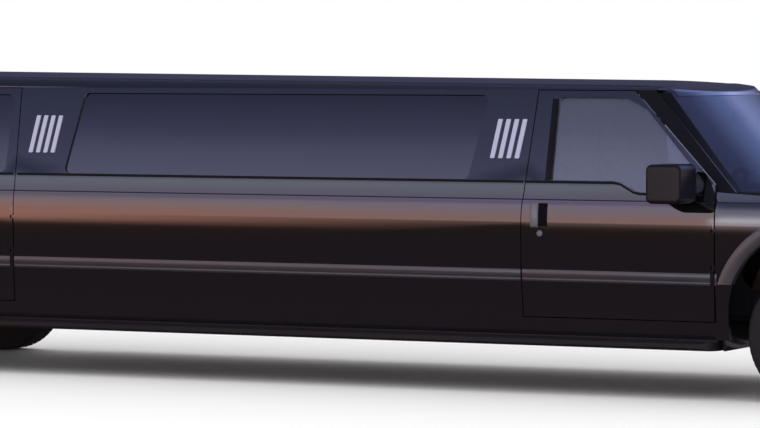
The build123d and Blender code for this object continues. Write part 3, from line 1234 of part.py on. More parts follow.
SEAT_WIDTH = 540
SEAT_DEPTH = 560
SEAT_HEIGHT = 360
BACK_HEIGHT = 930
BACK_LEAN = 150
SEAT_BACK = 75
X_SEAT = X_DOOR - 1130
seat_view = ((0, 0), (0, SEAT_HEIGHT - 30), (60, SEAT_HEIGHT + 20), (SEAT_DEPTH, SEAT_HEIGHT), (SEAT_DEPTH, 0))
back_view = ((-10, SEAT_HEIGHT - 30), (-BACK_LEAN, BACK_HEIGHT - 30), (SEAT_BACK + 15 - BACK_LEAN, BACK_HEIGHT),
             (SEAT_BACK - 5, SEAT_HEIGHT + 25))
with BuildPart() as front_seats:
    for y in (-DRIVER_Y, DRIVER_Y):
        add(side_prism([(X_SEAT + x, Z_DECK + z) for x, z in seat_view], y - SEAT_WIDTH / 2, y + SEAT_WIDTH / 2))
        add(side_prism([(X_SEAT + x, Z_DECK + z) for x, z in back_view], y - SEAT_WIDTH / 2, y + SEAT_WIDTH / 2))
write_part(front_seats, "front_seats")

LOUNGE_DEPTH = 560
LOUNGE_HEIGHT = 400
LOUNGE_BACK = 150
LOUNGE_TOP = 880
X_LOUNGE = X_REAR_DOOR_END + 560
X_LOUNGE_END = X_PARTITION - 260
lounge_side = Y_INNER - 90
with BuildPart() as lounge:
    add(block(X_LOUNGE - 800, X_LOUNGE - 800 + LOUNGE_DEPTH, -Y_HOUSE + 30, Y_HOUSE - 30, Z_DECK, Z_DECK + LOUNGE_HEIGHT))
    add(block(X_LOUNGE - 800, X_LOUNGE - 800 + LOUNGE_BACK, -Y_HOUSE + 30, Y_HOUSE - 30, Z_DECK, Z_DECK + LOUNGE_TOP))
    add(block(X_REAR_DOOR + 60, X_LOUNGE_END, lounge_side - LOUNGE_DEPTH, lounge_side, Z_DECK, Z_DECK + LOUNGE_HEIGHT))
    add(block(X_REAR_DOOR + 60, X_LOUNGE_END, lounge_side - LOUNGE_BACK, lounge_side, Z_DECK, Z_DECK + 700))
write_part(lounge, "lounge_seats")

BAR_DEPTH = 420
BAR_HEIGHT = 560
BAR_WALL = 60
bar_side = Y_INNER - 60
bar_rear, bar_front = X_REAR_DOOR + 420, X_LOUNGE_END - 300
with BuildPart() as bar:
    add(block(bar_rear, bar_front, -bar_side, -bar_side + BAR_DEPTH, Z_DECK, Z_DECK + BAR_HEIGHT))
    add(block(bar_rear + BAR_WALL, bar_front - BAR_WALL, -bar_side + 2 * BAR_WALL, -bar_side + BAR_DEPTH + 20,
              Z_DECK + 170, Z_DECK + BAR_HEIGHT - 40), mode=Mode.SUBTRACT)
write_part(bar, "bar_cabinet")

# Door mirrors
MIRROR_X = X_DOOR - 220
MIRROR_DEPTH = 225
MIRROR_LOW = 1186
MIRROR_HIGH = 1420
MIRROR_INNER = 1045
MIRROR_OUTER = 1300
mirror_body = block(MIRROR_X - MIRROR_DEPTH / 2, MIRROR_X + MIRROR_DEPTH / 2, -MIRROR_OUTER, -MIRROR_INNER,
                    MIRROR_LOW, MIRROR_HIGH)
mirror_arm = block(MIRROR_X + 20, MIRROR_X + 85, -MIRROR_INNER, -Y_BELT, Z_CREASE + 12, Z_BELT_DIP - 8)
door_face = body_side(X_STRETCH, X_DOOR)
with BuildPart() as door_mirror:
    add(mirror_body)
    fillet(door_mirror.edges().filter_by(Axis.Y), radius=38)
    fillet(door_mirror.faces().sort_by(Axis.Y)[0].edges(), radius=24)
    add(mirror_arm)
    add(door_face, mode=Mode.SUBTRACT)
write_part(door_mirror, "door_mirror_right")
write_part(left_of(door_mirror.part), "door_mirror_left")

# Towing points: receiver at the rear, eyes at the front
RECEIVER_OUTER = 63.5
RECEIVER_INNER = 51
RECEIVER_LENGTH = 220
RECEIVER_PIN = 8
EYE_RADIUS = 34
EYE_BORE = 16
EYE_THICKNESS = 24
EYE_SHANK = 60
SPRING_CLEARANCE = 20
receiver_z = 400
x_receiver = X_TAIL + 30
eye_z = Z_RAIL - EYE_RADIUS + 6
eye_x = max(X_RAIL_FRONT + 60, X_FRONT_AXLE + SPRING_LENGTH / 2 + EYE_SHANK)
eye_root = X_FRONT_AXLE + SPRING_LENGTH / 2 + SPRING_CLEARANCE
with BuildPart() as receiver:
    add(block(x_receiver, x_receiver + RECEIVER_LENGTH, -RECEIVER_OUTER / 2, RECEIVER_OUTER / 2,
              receiver_z - RECEIVER_OUTER / 2, receiver_z + RECEIVER_OUTER / 2))
    add(block(x_receiver - 10, x_receiver + RECEIVER_LENGTH + 10, -RECEIVER_INNER / 2, RECEIVER_INNER / 2,
              receiver_z - RECEIVER_INNER / 2, receiver_z + RECEIVER_INNER / 2), mode=Mode.SUBTRACT)
    add(rod(across(x_receiver + 60, receiver_z, -100), RECEIVER_PIN, 200), mode=Mode.SUBTRACT)
with BuildPart() as tow_points:
    add(receiver.part)
    add(block(X_RAIL_REAR + 30, X_RAIL_REAR + 90, -RECEIVER_OUTER / 2, RECEIVER_OUTER / 2,
              receiver_z + RECEIVER_OUTER / 2, Z_RAIL + CROSS_LOW))
    for y in (-SPRING_Y, SPRING_Y):
        low = y - EYE_THICKNESS / 2
        add(rod(across(eye_x, eye_z, low), EYE_RADIUS, EYE_THICKNESS))
        add(block(eye_root, eye_x, low, low + EYE_THICKNESS, eye_z - 16, Z_RAIL))
        add(rod(across(eye_x, eye_z, low - 10), EYE_BORE, EYE_THICKNESS + 20), mode=Mode.SUBTRACT)
write_part(tow_points, "tow_points")
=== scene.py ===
"""Studio scene of an SUV-based stretch limousine: finishes, trim, glass, wheels, lamps and cabin."""

from __future__ import annotations

import json
import logging
import math
from dataclasses import dataclass
from enum import Enum
from typing import Any, Callable, ClassVar, Sequence

import bmesh
import bpy
from mathutils import Matrix, Vector

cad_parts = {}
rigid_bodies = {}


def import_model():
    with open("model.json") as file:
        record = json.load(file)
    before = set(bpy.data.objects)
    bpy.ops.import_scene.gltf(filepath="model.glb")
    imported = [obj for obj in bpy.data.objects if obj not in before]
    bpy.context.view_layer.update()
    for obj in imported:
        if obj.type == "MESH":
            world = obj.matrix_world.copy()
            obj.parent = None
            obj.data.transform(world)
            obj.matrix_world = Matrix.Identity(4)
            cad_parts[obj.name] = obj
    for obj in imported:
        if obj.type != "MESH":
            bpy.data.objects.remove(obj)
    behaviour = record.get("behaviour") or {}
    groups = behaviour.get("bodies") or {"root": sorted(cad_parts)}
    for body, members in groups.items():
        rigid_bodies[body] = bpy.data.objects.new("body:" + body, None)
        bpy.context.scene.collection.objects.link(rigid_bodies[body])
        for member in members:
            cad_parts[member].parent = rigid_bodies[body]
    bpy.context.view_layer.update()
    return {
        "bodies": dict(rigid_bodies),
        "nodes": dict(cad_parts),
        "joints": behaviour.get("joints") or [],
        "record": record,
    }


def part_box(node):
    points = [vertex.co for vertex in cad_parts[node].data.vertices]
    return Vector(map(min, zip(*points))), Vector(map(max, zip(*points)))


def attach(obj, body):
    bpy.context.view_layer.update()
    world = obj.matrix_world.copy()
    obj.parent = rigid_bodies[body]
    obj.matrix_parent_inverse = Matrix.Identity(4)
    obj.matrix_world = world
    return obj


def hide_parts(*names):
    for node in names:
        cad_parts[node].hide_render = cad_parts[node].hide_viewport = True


LOG = logging.getLogger("limousine")
MM = 0.001
MERGE = 0.02 * MM  # points nearer than this are one
PIECE_CREASE = math.radians(38)  # edges of made pieces that stay sharp
NODE_CREASE = math.radians(32)  # edges of CAD nodes that stay sharp

Point2 = tuple[float, float]
Point3 = tuple[float, float, float]
Band = tuple[float, str, float]

AHEAD: Point3 = (1, 0, 0)
OUTWARD: Point3 = (0, -1, 0)  # on the right side
UPWARD: Point3 = (0, 0, 1)


class Side(Enum):
    """Side of the vehicle, by the sign of its Y."""

    RIGHT = -1
    LEFT = 1

    @property
    def word(self) -> str:
        """The side's name as node names end with it."""
        return self.name.lower()


class End(Enum):
    """End of the vehicle, by the sign of its X."""

    FRONT = 1
    REAR = -1

    @property
    def word(self) -> str:
        """The end's name as node names hold it."""
        return self.name.lower()


def linear(code: str) -> tuple[float, float, float, float]:
    """Turn an sRGB hex colour into linear RGBA.

    Args:
        code: Six hex digits after a hash sign.

    Returns:
        Linear red, green and blue, with alpha 1.
    """
    values = [int(code[i:i + 2], 16) / 255 for i in (1, 3, 5)]
    return (*[v / 12.92 if v <= 0.04045 else ((v + 0.055) / 1.055) ** 2.4 for v in values], 1.0)


def add_node(
    tree: bpy.types.NodeTree, kind: str, inputs: dict | None = None, **settings: Any,
) -> bpy.types.Node:
    """Add a node with its settings and links.

    Args:
        tree: Node tree that gets the node.
        kind: The node's type name.
        inputs: Input name or number to a value, or to the output socket that feeds it.
        settings: Properties of the node.

    Returns:
        The new node.
    """
    node = tree.nodes.new(kind)
    for name, value in settings.items():
        setattr(node, name, value)
    for key, value in (inputs or {}).items():
        if isinstance(value, bpy.types.NodeSocket):
            tree.links.new(value, node.inputs[key])
        else:
            node.inputs[key].default_value = value
    return node


@dataclass(frozen=True)
class Finish:
    """One surface finish: a shader with a fine pattern in its colour, roughness and relief."""

    name: str
    colour: str
    roughness: float
    metallic: float = 0.0
    specular: float = 0.5
    coat: float = 0.0
    coat_roughness: float = 0.03
    grain_mm: float = 4.0
    relief_mm: float = 0.1
    mottle: float = 0.08
    gloss_spread: float = 0.06

    def material(self) -> bpy.types.Material:
        """Make the finish's material on first use.

        Returns:
            The material.
        """
        found = bpy.data.materials.get(self.name)
        if found is not None:
            return found
        made = bpy.data.materials.new(self.name)
        made.use_nodes = True
        tree = made.node_tree
        shader = tree.nodes["Principled BSDF"]
        values = {
            "Base Color": linear(self.colour), "Roughness": self.roughness, "Metallic": self.metallic,
            "Specular IOR Level": self.specular, "Coat Weight": self.coat, "Coat Roughness": self.coat_roughness,
        }
        for name, value in values.items():
            shader.inputs[name].default_value = value
        self.detail(tree, shader)
        return made

    def place(self, tree: bpy.types.NodeTree, stretch: Point3 = (1.0, 1.0, 1.0)) -> bpy.types.NodeSocket:
        """Object coordinates, stretched along each axis."""
        where = add_node(tree, "ShaderNodeTexCoord").outputs["Object"]
        return add_node(tree, "ShaderNodeMapping", {"Vector": where, "Scale": stretch}).outputs["Vector"]

    def grain(self, tree: bpy.types.NodeTree, size_mm: float, stretch: Point3 = (1.0, 1.0, 1.0),
              octaves: float = 3.0) -> bpy.types.NodeSocket:
        """Noise from 0 to 1 whose blobs are about size_mm across."""
        return add_node(tree, "ShaderNodeTexNoise",
                        {"Vector": self.place(tree, stretch), "Scale": 1 / (size_mm * MM), "Detail": octaves},
                        ).outputs["Fac"]

    def shade(self, tree: bpy.types.NodeTree, shader: bpy.types.Node, pattern: bpy.types.NodeSocket) -> None:
        """Vary colour and roughness with a pattern.

        Args:
            tree: The material's node tree.
            shader: Its shader node.
            pattern: Share from 0 to 1.
        """
        base = linear(self.colour)
        low, high = ([c * (1 + sign * self.mottle) for c in base[:3]] + [1.0] for sign in (-1, 1))
        mixed = add_node(tree, "ShaderNodeMix", {0: pattern, 6: low, 7: high}, data_type="RGBA")
        tree.links.new(mixed.outputs[2], shader.inputs["Base Color"])
        rough = add_node(tree, "ShaderNodeMapRange",
                         {"Value": pattern, "To Min": max(0.01, self.roughness - self.gloss_spread),
                          "To Max": self.roughness + self.gloss_spread})
        tree.links.new(rough.outputs["Result"], shader.inputs["Roughness"])

    def emboss(self, tree: bpy.types.NodeTree, shader: bpy.types.Node, pattern: bpy.types.NodeSocket) -> None:
        """Give the surface the pattern's relief."""
        bump = add_node(tree, "ShaderNodeBump",
                        {"Height": pattern, "Distance": self.relief_mm * MM, "Strength": 1.0})
        tree.links.new(bump.outputs["Normal"], shader.inputs["Normal"])

    def detail(self, tree: bpy.types.NodeTree, shader: bpy.types.Node) -> None:
        """Add the finish's own pattern: by default an even moulded grain."""
        self.shade(tree, shader, self.grain(tree, 40 * self.grain_mm))
        self.emboss(tree, shader, self.grain(tree, self.grain_mm))


@dataclass(frozen=True)
class ClearcoatPaint(Finish):
    """Baked enamel under clearcoat: a deep mirror with a trace of orange peel, and road dust along the sill."""

    dust: str = "#4a423c"
    dust_heights: Point2 = (0.3, 0.62)
    dust_share: float = 0.05
    dust_mm: float = 90.0
    dust_roughness: float = 0.2

    def detail(self, tree: bpy.types.NodeTree, shader: bpy.types.Node) -> None:
        """Orange peel in the coat, dust that thins out upward.

        Args:
            tree: The material's node tree.
            shader: Its shader node.
        """
        self.emboss(tree, shader, self.grain(tree, self.grain_mm, octaves=1.0))
        where = add_node(tree, "ShaderNodeTexCoord").outputs["Object"]
        height = add_node(tree, "ShaderNodeSeparateXYZ", {"Vector": where}).outputs["Z"]
        low = add_node(tree, "ShaderNodeMapRange",
                       {"Value": height, "From Min": self.dust_heights[0], "From Max": self.dust_heights[1],
                        "To Min": 1.0, "To Max": 0.0})
        film = add_node(tree, "ShaderNodeMath",
                        {0: low.outputs["Result"], 1: self.grain(tree, self.dust_mm, (0.3, 1, 1))},
                        operation="MULTIPLY")
        share = add_node(tree, "ShaderNodeMath", {0: film.outputs[0], 1: self.dust_share}, operation="MULTIPLY")
        mixed = add_node(tree, "ShaderNodeMix",
                         {0: share.outputs[0], 6: linear(self.colour), 7: linear(self.dust)}, data_type="RGBA")
        tree.links.new(mixed.outputs[2], shader.inputs["Base Color"])
        rough = add_node(tree, "ShaderNodeMapRange",
                         {"Value": film.outputs[0], "To Min": self.roughness,
                          "To Max": self.roughness + self.dust_roughness})
        tree.links.new(rough.outputs["Result"], shader.inputs["Roughness"])


@dataclass(frozen=True)
class TintedGlass(Finish):
    """Float glass with a dyed film: clear enough to show shapes inside, with a hard reflection."""

    clear: float = 0.9
    wave_mm: float = 260.0
    ior: float = 1.5

    def detail(self, tree: bpy.types.NodeTree, shader: bpy.types.Node) -> None:
        """Transmission and the slow waviness of tempered glass.

        Args:
            tree: The material's node tree.
            shader: Its shader node.
        """
        shader.inputs["Transmission Weight"].default_value = self.clear
        shader.inputs["IOR"].default_value = self.ior
        self.emboss(tree, shader, self.grain(tree, self.wave_mm, octaves=0.0))


@dataclass(frozen=True)
class BrushedMetal(Finish):
    """Metal with fine lines along X: the highlight stretches across them."""

    def detail(self, tree: bpy.types.NodeTree, shader: bpy.types.Node) -> None:
        """Long thin streaks, drawn coarse enough to show.

        Args:
            tree: The material's node tree.
            shader: Its shader node.
        """
        streaks = self.grain(tree, self.grain_mm, (0.04, 1.0, 1.0))
        self.shade(tree, shader, streaks)
        self.emboss(tree, shader, streaks)


@dataclass(frozen=True)
class Leather(Finish):
    """Dyed upholstery leather: pebbled cells with a soft sheen, paler where it is rubbed."""

    rubbed_mm: float = 120.0
    sheen: float = 0.15

    def detail(self, tree: bpy.types.NodeTree, shader: bpy.types.Node) -> None:
        """Cells of the hide, drawn about twice as coarse as they are.

        Args:
            tree: The material's node tree.
            shader: Its shader node.
        """
        cells = add_node(tree, "ShaderNodeTexVoronoi",
                         {"Vector": self.place(tree), "Scale": 1 / (self.grain_mm * MM)}, feature="SMOOTH_F1")
        self.shade(tree, shader, self.grain(tree, self.rubbed_mm))
        self.emboss(tree, shader, cells.outputs["Distance"])
        shader.inputs["Sheen Weight"].default_value = self.sheen


@dataclass(frozen=True)
class Veneer(Finish):
    """Lacquered walnut veneer: dark growth lines along X under a glossy coat."""

    line: str = "#1c0d07"

    def detail(self, tree: bpy.types.NodeTree, shader: bpy.types.Node) -> None:
        """Growth lines bent by slow noise.

        Args:
            tree: The material's node tree.
            shader: Its shader node.
        """
        rings = add_node(tree, "ShaderNodeTexWave",
                         {"Vector": self.place(tree, (0.12, 1.0, 1.0)), "Scale": 1 / (self.grain_mm * MM) / 20,
                          "Distortion": 6.0, "Detail": 3.0})
        mixed = add_node(tree, "ShaderNodeMix",
                         {0: rings.outputs["Fac"], 6: linear(self.line), 7: linear(self.colour)}, data_type="RGBA")
        tree.links.new(mixed.outputs[2], shader.inputs["Base Color"])


@dataclass(frozen=True)
class Pile(Finish):
    """Cut-pile carpet: short fibres that scatter light, with soft tufts."""

    sheen: float = 0.4

    def detail(self, tree: bpy.types.NodeTree, shader: bpy.types.Node) -> None:
        """Tufts in relief, and in colour that darkens where they are low: painted shade between the tufts over the
        pile's own uneven tone.

        Args:
            tree: The material's node tree.
            shader: Its shader node.
        """
        tufts = self.grain(tree, self.grain_mm, octaves=6.0)
        # The same pattern darkens the colour where the tufts are low: painted shade between them
        self.shade(tree, shader, tufts)
        self.emboss(tree, shader, tufts)
        shader.inputs["Sheen Weight"].default_value = self.sheen


@dataclass(frozen=True)
class Lens(Finish):
    """Moulded acrylic lens: coloured through, with flutes that spread the light."""

    clear: float = 0.85
    ior: float = 1.49

    def detail(self, tree: bpy.types.NodeTree, shader: bpy.types.Node) -> None:
        """Upright flutes across the lens.

        Args:
            tree: The material's node tree.
            shader: Its shader node.
        """
        shader.inputs["Transmission Weight"].default_value = self.clear
        shader.inputs["IOR"].default_value = self.ior
        flutes = add_node(tree, "ShaderNodeTexWave",
                          {"Vector": self.place(tree), "Scale": 1 / (self.grain_mm * MM) / 20}, bands_direction="Y")
        self.emboss(tree, shader, flutes.outputs["Fac"])


# Baked enamel under clearcoat: a black mirror with the faint violet that a deep coat shows
PAINT = ClearcoatPaint("black_clearcoat_enamel", "#08070a", 0.03, specular=1.0, coat=1.0, coat_roughness=0.02,
                       grain_mm=7.0, relief_mm=0.012)
# Moulded ABS, satin: charcoal, lighter than the paint
CLADDING = Finish("satin_cladding_plastic", "#2b282d", 0.34, specular=0.7, coat=0.35, coat_roughness=0.14,
                  relief_mm=0.03)
# Satin coats on steel and aluminium: dark and almost without a mirror image
PILLAR_COAT = Finish("pillar_satin_black", "#07070c", 0.3, specular=0.14, relief_mm=0.02)
BOARD_COAT = Finish("board_satin_black", "#151317", 0.42, specular=0.3, relief_mm=0.04)
# Moulded plastics: near black and matt in the recesses, a painted shade for their dark; dull grey-black with a broad
# sheen elsewhere
RECESS_SHADE_BLACK = Finish("recess_black", "#040304", 0.7, specular=0.15, relief_mm=0.02)
MIRROR_SHELL = Finish("mirror_shell_plastic", "#0d0c0f", 0.4, specular=0.35, relief_mm=0.04)
# Lacquer over cast zinc: a soft grey streak of light
HANDLE_LACQUER = BrushedMetal("handle_satin_lacquer", "#68656e", 0.36, metallic=0.35, grain_mm=2.0, relief_mm=0.01)
# Moulded polypropylene with a leather-like grain
BLACK_PLASTIC = Finish("grained_black_plastic", "#121214", 0.48, grain_mm=3.0, relief_mm=0.12)
# Extruded and vulcanised rubber: dull, with a dusty grey on the tyres
RUBBER_SEAL = Finish("extruded_rubber_seal", "#0b0b0c", 0.62, specular=0.2, grain_mm=2.0, relief_mm=0.05)
TYRE_RUBBER = Finish("vulcanised_tyre_rubber", "#131313", 0.74, grain_mm=3.0, relief_mm=0.25, mottle=0.2)
# Float glass: nearly black with its dyed film beside the cabin, clearer in the front doors and the windshield, whose
# blue is partly its own tint and partly a painted sky reflection
SIDE_TINT = TintedGlass("limousine_tint_glass", "#171a26", 0.02, specular=1.0, coat=1.0, relief_mm=0.25, clear=0.75)
DOOR_TINT = TintedGlass("front_door_tint_glass", "#8b90a6", 0.02, specular=1.0, coat=1.0, relief_mm=0.25, clear=0.85)
# The windshield's blue base colour is partly a painted reflection of a blue sky
SCREEN_GLASS = TintedGlass("laminated_windshield_glass", "#3c4660", 0.02, specular=0.8, relief_mm=0.2, clear=0.95)
# Silvered glass: a clear mirror
MIRROR_SILVER = Finish("silvered_mirror", "#c9ced4", 0.03, metallic=1.0, relief_mm=0.0)
# Turned and polished aluminium, anodised bars and chrome plate: pale satin, blue satin and hard bands
ALLOY = BrushedMetal("polished_alloy", "#b9bac0", 0.28, metallic=0.6, grain_mm=1.6, relief_mm=0.01)
SATIN_SILVER = BrushedMetal("anodised_silver_bar", "#b4b6c8", 0.38, metallic=0.45, grain_mm=2.0, relief_mm=0.02)
CHROME = Finish("chrome_plate", "#c4c6ca", 0.08, metallic=1.0, relief_mm=0.0)
# Sand-cast iron, dipped paint and aluminised sheet: the dull greys under the body
CAST_IRON = Finish("cast_iron", "#2c2a28", 0.68, metallic=0.6, grain_mm=5.0, relief_mm=0.5, mottle=0.25)
FRAME_PAINT = Finish("chassis_paint", "#161617", 0.5, grain_mm=9.0, relief_mm=0.15)
EXHAUST_STEEL = BrushedMetal("aluminised_steel", "#77736c", 0.42, metallic=1.0, grain_mm=3.0, relief_mm=0.05)
# Tanned hide: a pebbled black with a soft sheen, a shade paler on the piping
BLACK_LEATHER = Leather("black_upholstery_leather", "#1b1a1d", 0.42, grain_mm=3.2, relief_mm=0.5)
PIPING = Leather("piping_leather", "#38353b", 0.45, grain_mm=3.0, relief_mm=0.3)
# Sliced veneer under lacquer: brown lines below a gloss
WALNUT = Veneer("lacquered_walnut", "#4a2715", 0.3, coat=1.0, grain_mm=6.0)
# Cut pile: the colour darkens where the tufts are low, partly its own uneven tone and partly painted shade between the
# tufts
CARPET = Pile("charcoal_carpet", "#1d1c20", 0.95, grain_mm=4.0, relief_mm=2.0, mottle=0.35)
# Moulded acrylic: its flutes break the light into upright bars
CLEAR_LENS = Lens("clear_lamp_acrylic", "#e6eaef", 0.05, grain_mm=14.0, relief_mm=0.4, clear=0.96)
RED_LENS = Lens("red_lamp_acrylic", "#8d0f12", 0.12, grain_mm=9.0, relief_mm=0.6, clear=0.35)
AMBER_LENS = Lens("amber_lamp_acrylic", "#c4660f", 0.12, grain_mm=9.0, relief_mm=0.6, clear=0.4)


def linked(name: str, data: bpy.types.ID) -> bpy.types.Object:
    """Make an object of a mesh, lamp or camera, and link it to the scene.

    Args:
        name: The object's name.
        data: What it shows.

    Returns:
        The object.
    """
    made = bpy.data.objects.new(name, data)
    bpy.context.scene.collection.objects.link(made)
    return made


def mesh_of(name: str, bm: bmesh.types.BMesh) -> bpy.types.Mesh:
    """Turn a bmesh into a mesh.

    Args:
        name: The mesh's name.
        bm: The shape. It is freed.

    Returns:
        The mesh.
    """
    mesh = bpy.data.meshes.new(name)
    bm.to_mesh(mesh)
    bm.free()
    return mesh


def finished(name: str, bm: bmesh.types.BMesh, finish: Finish, smooth: bool = True) -> bpy.types.Object:
    """Make an object of a bmesh at the origin, with outward faces and one finish.

    Args:
        name: The piece's name.
        bm: The shape, in the vehicle's frame. It is freed.
        finish: The surface finish.
        smooth: Whether faces shade smoothly up to sharp edges.

    Returns:
        The linked object.
    """
    bmesh.ops.remove_doubles(bm, verts=bm.verts, dist=MERGE)
    bmesh.ops.recalc_face_normals(bm, faces=bm.faces)
    for face in bm.faces:
        face.smooth = smooth
    for edge in bm.edges:
        edge.smooth = edge.calc_face_angle(0.0) < PIECE_CREASE
    mesh = mesh_of(name, bm)
    mesh.materials.append(finish.material())
    return linked(name, mesh)


def shaped(name: str, finish: Finish, form: Callable[..., None], *sizes: Sequence[Any]) -> bpy.types.Object:
    """Make one piece of shapes of the same form.

    Args:
        name: The piece's name.
        finish: Its finish.
        form: Function that adds a shape to a mesh.
        sizes: What the function takes for each shape.

    Returns:
        The piece.
    """
    bm = bmesh.new()
    for size in sizes:
        form(bm, *size)
    return finished(name, bm, finish)


def skin(bm: bmesh.types.BMesh, rings: Sequence[Sequence[Point3]], closed: bool = False) -> None:
    """Join rings of points, each a closed loop, into a tube, and cap its open ends.

    Args:
        bm: Mesh that gets the faces.
        rings: Loops of equal length.
        closed: Whether the last ring joins the first.
    """
    loops = [[bm.verts.new(p) for p in ring] for ring in rings]
    count = len(loops[0])
    for a, b in zip(loops, loops[1:] + (loops[:1] if closed else [])):
        for i in range(count):
            j = (i + 1) % count
            bm.faces.new((a[i], a[j], b[j], b[i]))
    if not closed:
        bm.faces.new(loops[0])
        bm.faces.new(list(reversed(loops[-1])))


def cuboid(name: str, finish: Finish, middle: Point3, size: Point3) -> bpy.types.Object:
    """Make a plain block with sharp edges.

    Args:
        name: The piece's name.
        finish: Its finish.
        middle: Its middle.
        size: Its three sizes.

    Returns:
        The piece.
    """
    bm = bmesh.new()
    bmesh.ops.create_cube(bm, size=1.0, matrix=Matrix.Translation(middle) @ Matrix.Diagonal((*size, 1.0)))
    return finished(name, bm, finish)


def rounded_block(bm: bmesh.types.BMesh, low: Point3, high: Point3, radius: float, segments: int = 3) -> None:
    """Add a block between two corners with rounded edges.

    Args:
        bm: Mesh that gets the block.
        low: Lowest corner.
        high: Highest corner.
        radius: Edge radius.
        segments: Facets across each rounded edge.
    """
    size = [b - a for a, b in zip(low, high)]
    middle = [(a + b) / 2 for a, b in zip(low, high)]
    made = bmesh.ops.create_cube(bm, size=1.0,
                                 matrix=Matrix.Translation(middle) @ Matrix.Diagonal((*size, 1.0)))
    edges = list({e for v in made["verts"] for e in v.link_edges})
    bmesh.ops.bevel(bm, geom=edges, offset=min(radius, 0.49 * min(size)), segments=segments, profile=0.5,
                    affect="EDGES")


def disc(bm: bmesh.types.BMesh, centre: Point3, axis: Point3, rings: Sequence[Point2], steps: int = 32,
         hollow: bool = False) -> None:
    """Add a turned shape: radii along an axis, from a centre.

    Args:
        bm: Mesh that gets the shape.
        centre: Point on the axis where the distance is 0.
        axis: Direction of the axis.
        rings: Distance along the axis and radius of each ring.
        steps: Facets around the axis.
        hollow: Whether the last ring joins the first, which leaves the middle open.
    """
    turn = Vector(axis).to_track_quat("Z", "Y").to_matrix()
    loops = []
    for along, radius in rings:
        ring = []
        for i in range(steps):
            a = 2 * math.pi * i / steps
            ring.append(tuple(Vector(centre) + turn @ Vector((radius * math.cos(a), radius * math.sin(a), along))))
        loops.append(ring)
    skin(bm, loops, closed=hollow)


def tube(bm: bmesh.types.BMesh, path: Sequence[Point3], radius: float, steps: int = 8) -> None:
    """Sweep a circle along a path.

    Args:
        bm: Mesh that gets the tube.
        path: Points of the centre line.
        radius: The tube's radius.
        steps: Facets around it.
    """
    points = [Vector(p) for p in path]
    side = None
    rings = []
    for i, point in enumerate(points):
        ahead = (points[min(i + 1, len(points) - 1)] - points[max(i - 1, 0)]).normalized()
        if side is None:
            side = ahead.orthogonal().normalized()
        side = (side - ahead * side.dot(ahead)).normalized()
        up = ahead.cross(side)
        rings.append([tuple(point + radius * (math.cos(a) * side + math.sin(a) * up))
                      for a in (2 * math.pi * k / steps for k in range(steps))])
    skin(bm, rings)


def mirrored(source: bpy.types.Object, name: str) -> bpy.types.Object:
    """Copy a right side piece to the left side.

    Args:
        source: The right side piece.
        name: The copy's name.

    Returns:
        The copy.
    """
    bm = bmesh.new()
    bm.from_mesh(source.data)
    bmesh.ops.scale(bm, vec=(1, -1, 1), verts=bm.verts)
    bmesh.ops.reverse_faces(bm, faces=bm.faces)
    mesh = mesh_of(name, bm)
    for material in source.data.materials:
        mesh.materials.append(material)
    return linked(name, mesh)


def seat(piece: bpy.types.Object, body: str, slot: str, *nodes: str) -> bpy.types.Object:
    """Let a piece ride on a body, and hide the CAD nodes it stands for.

    Args:
        piece: The finished piece.
        body: Name of the body that carries it.
        slot: The record's material slot; not used.
        nodes: CAD nodes that the piece replaces.

    Returns:
        The piece.
    """
    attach(piece, body)
    if nodes:
        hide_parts(*nodes)
    LOG.info("%s rides on %s", piece.name, body)
    return piece


def pair(piece: bpy.types.Object, body: str, slot: str, *nodes: str) -> None:
    """Seat a right side piece and its mirror image on the left.

    Args:
        piece: The right side piece, whose name ends in _right.
        body: Name of the body, with {side} for the side's name.
        slot: The record's material slot.
        nodes: CAD nodes that it replaces, with {side} for the side's name.
    """
    other = mirrored(piece, piece.name.replace("_right", "_left"))
    for side, made in ((Side.RIGHT, piece), (Side.LEFT, other)):
        seat(made, body.format(side=side.word), slot, *[node.format(side=side.word) for node in nodes])


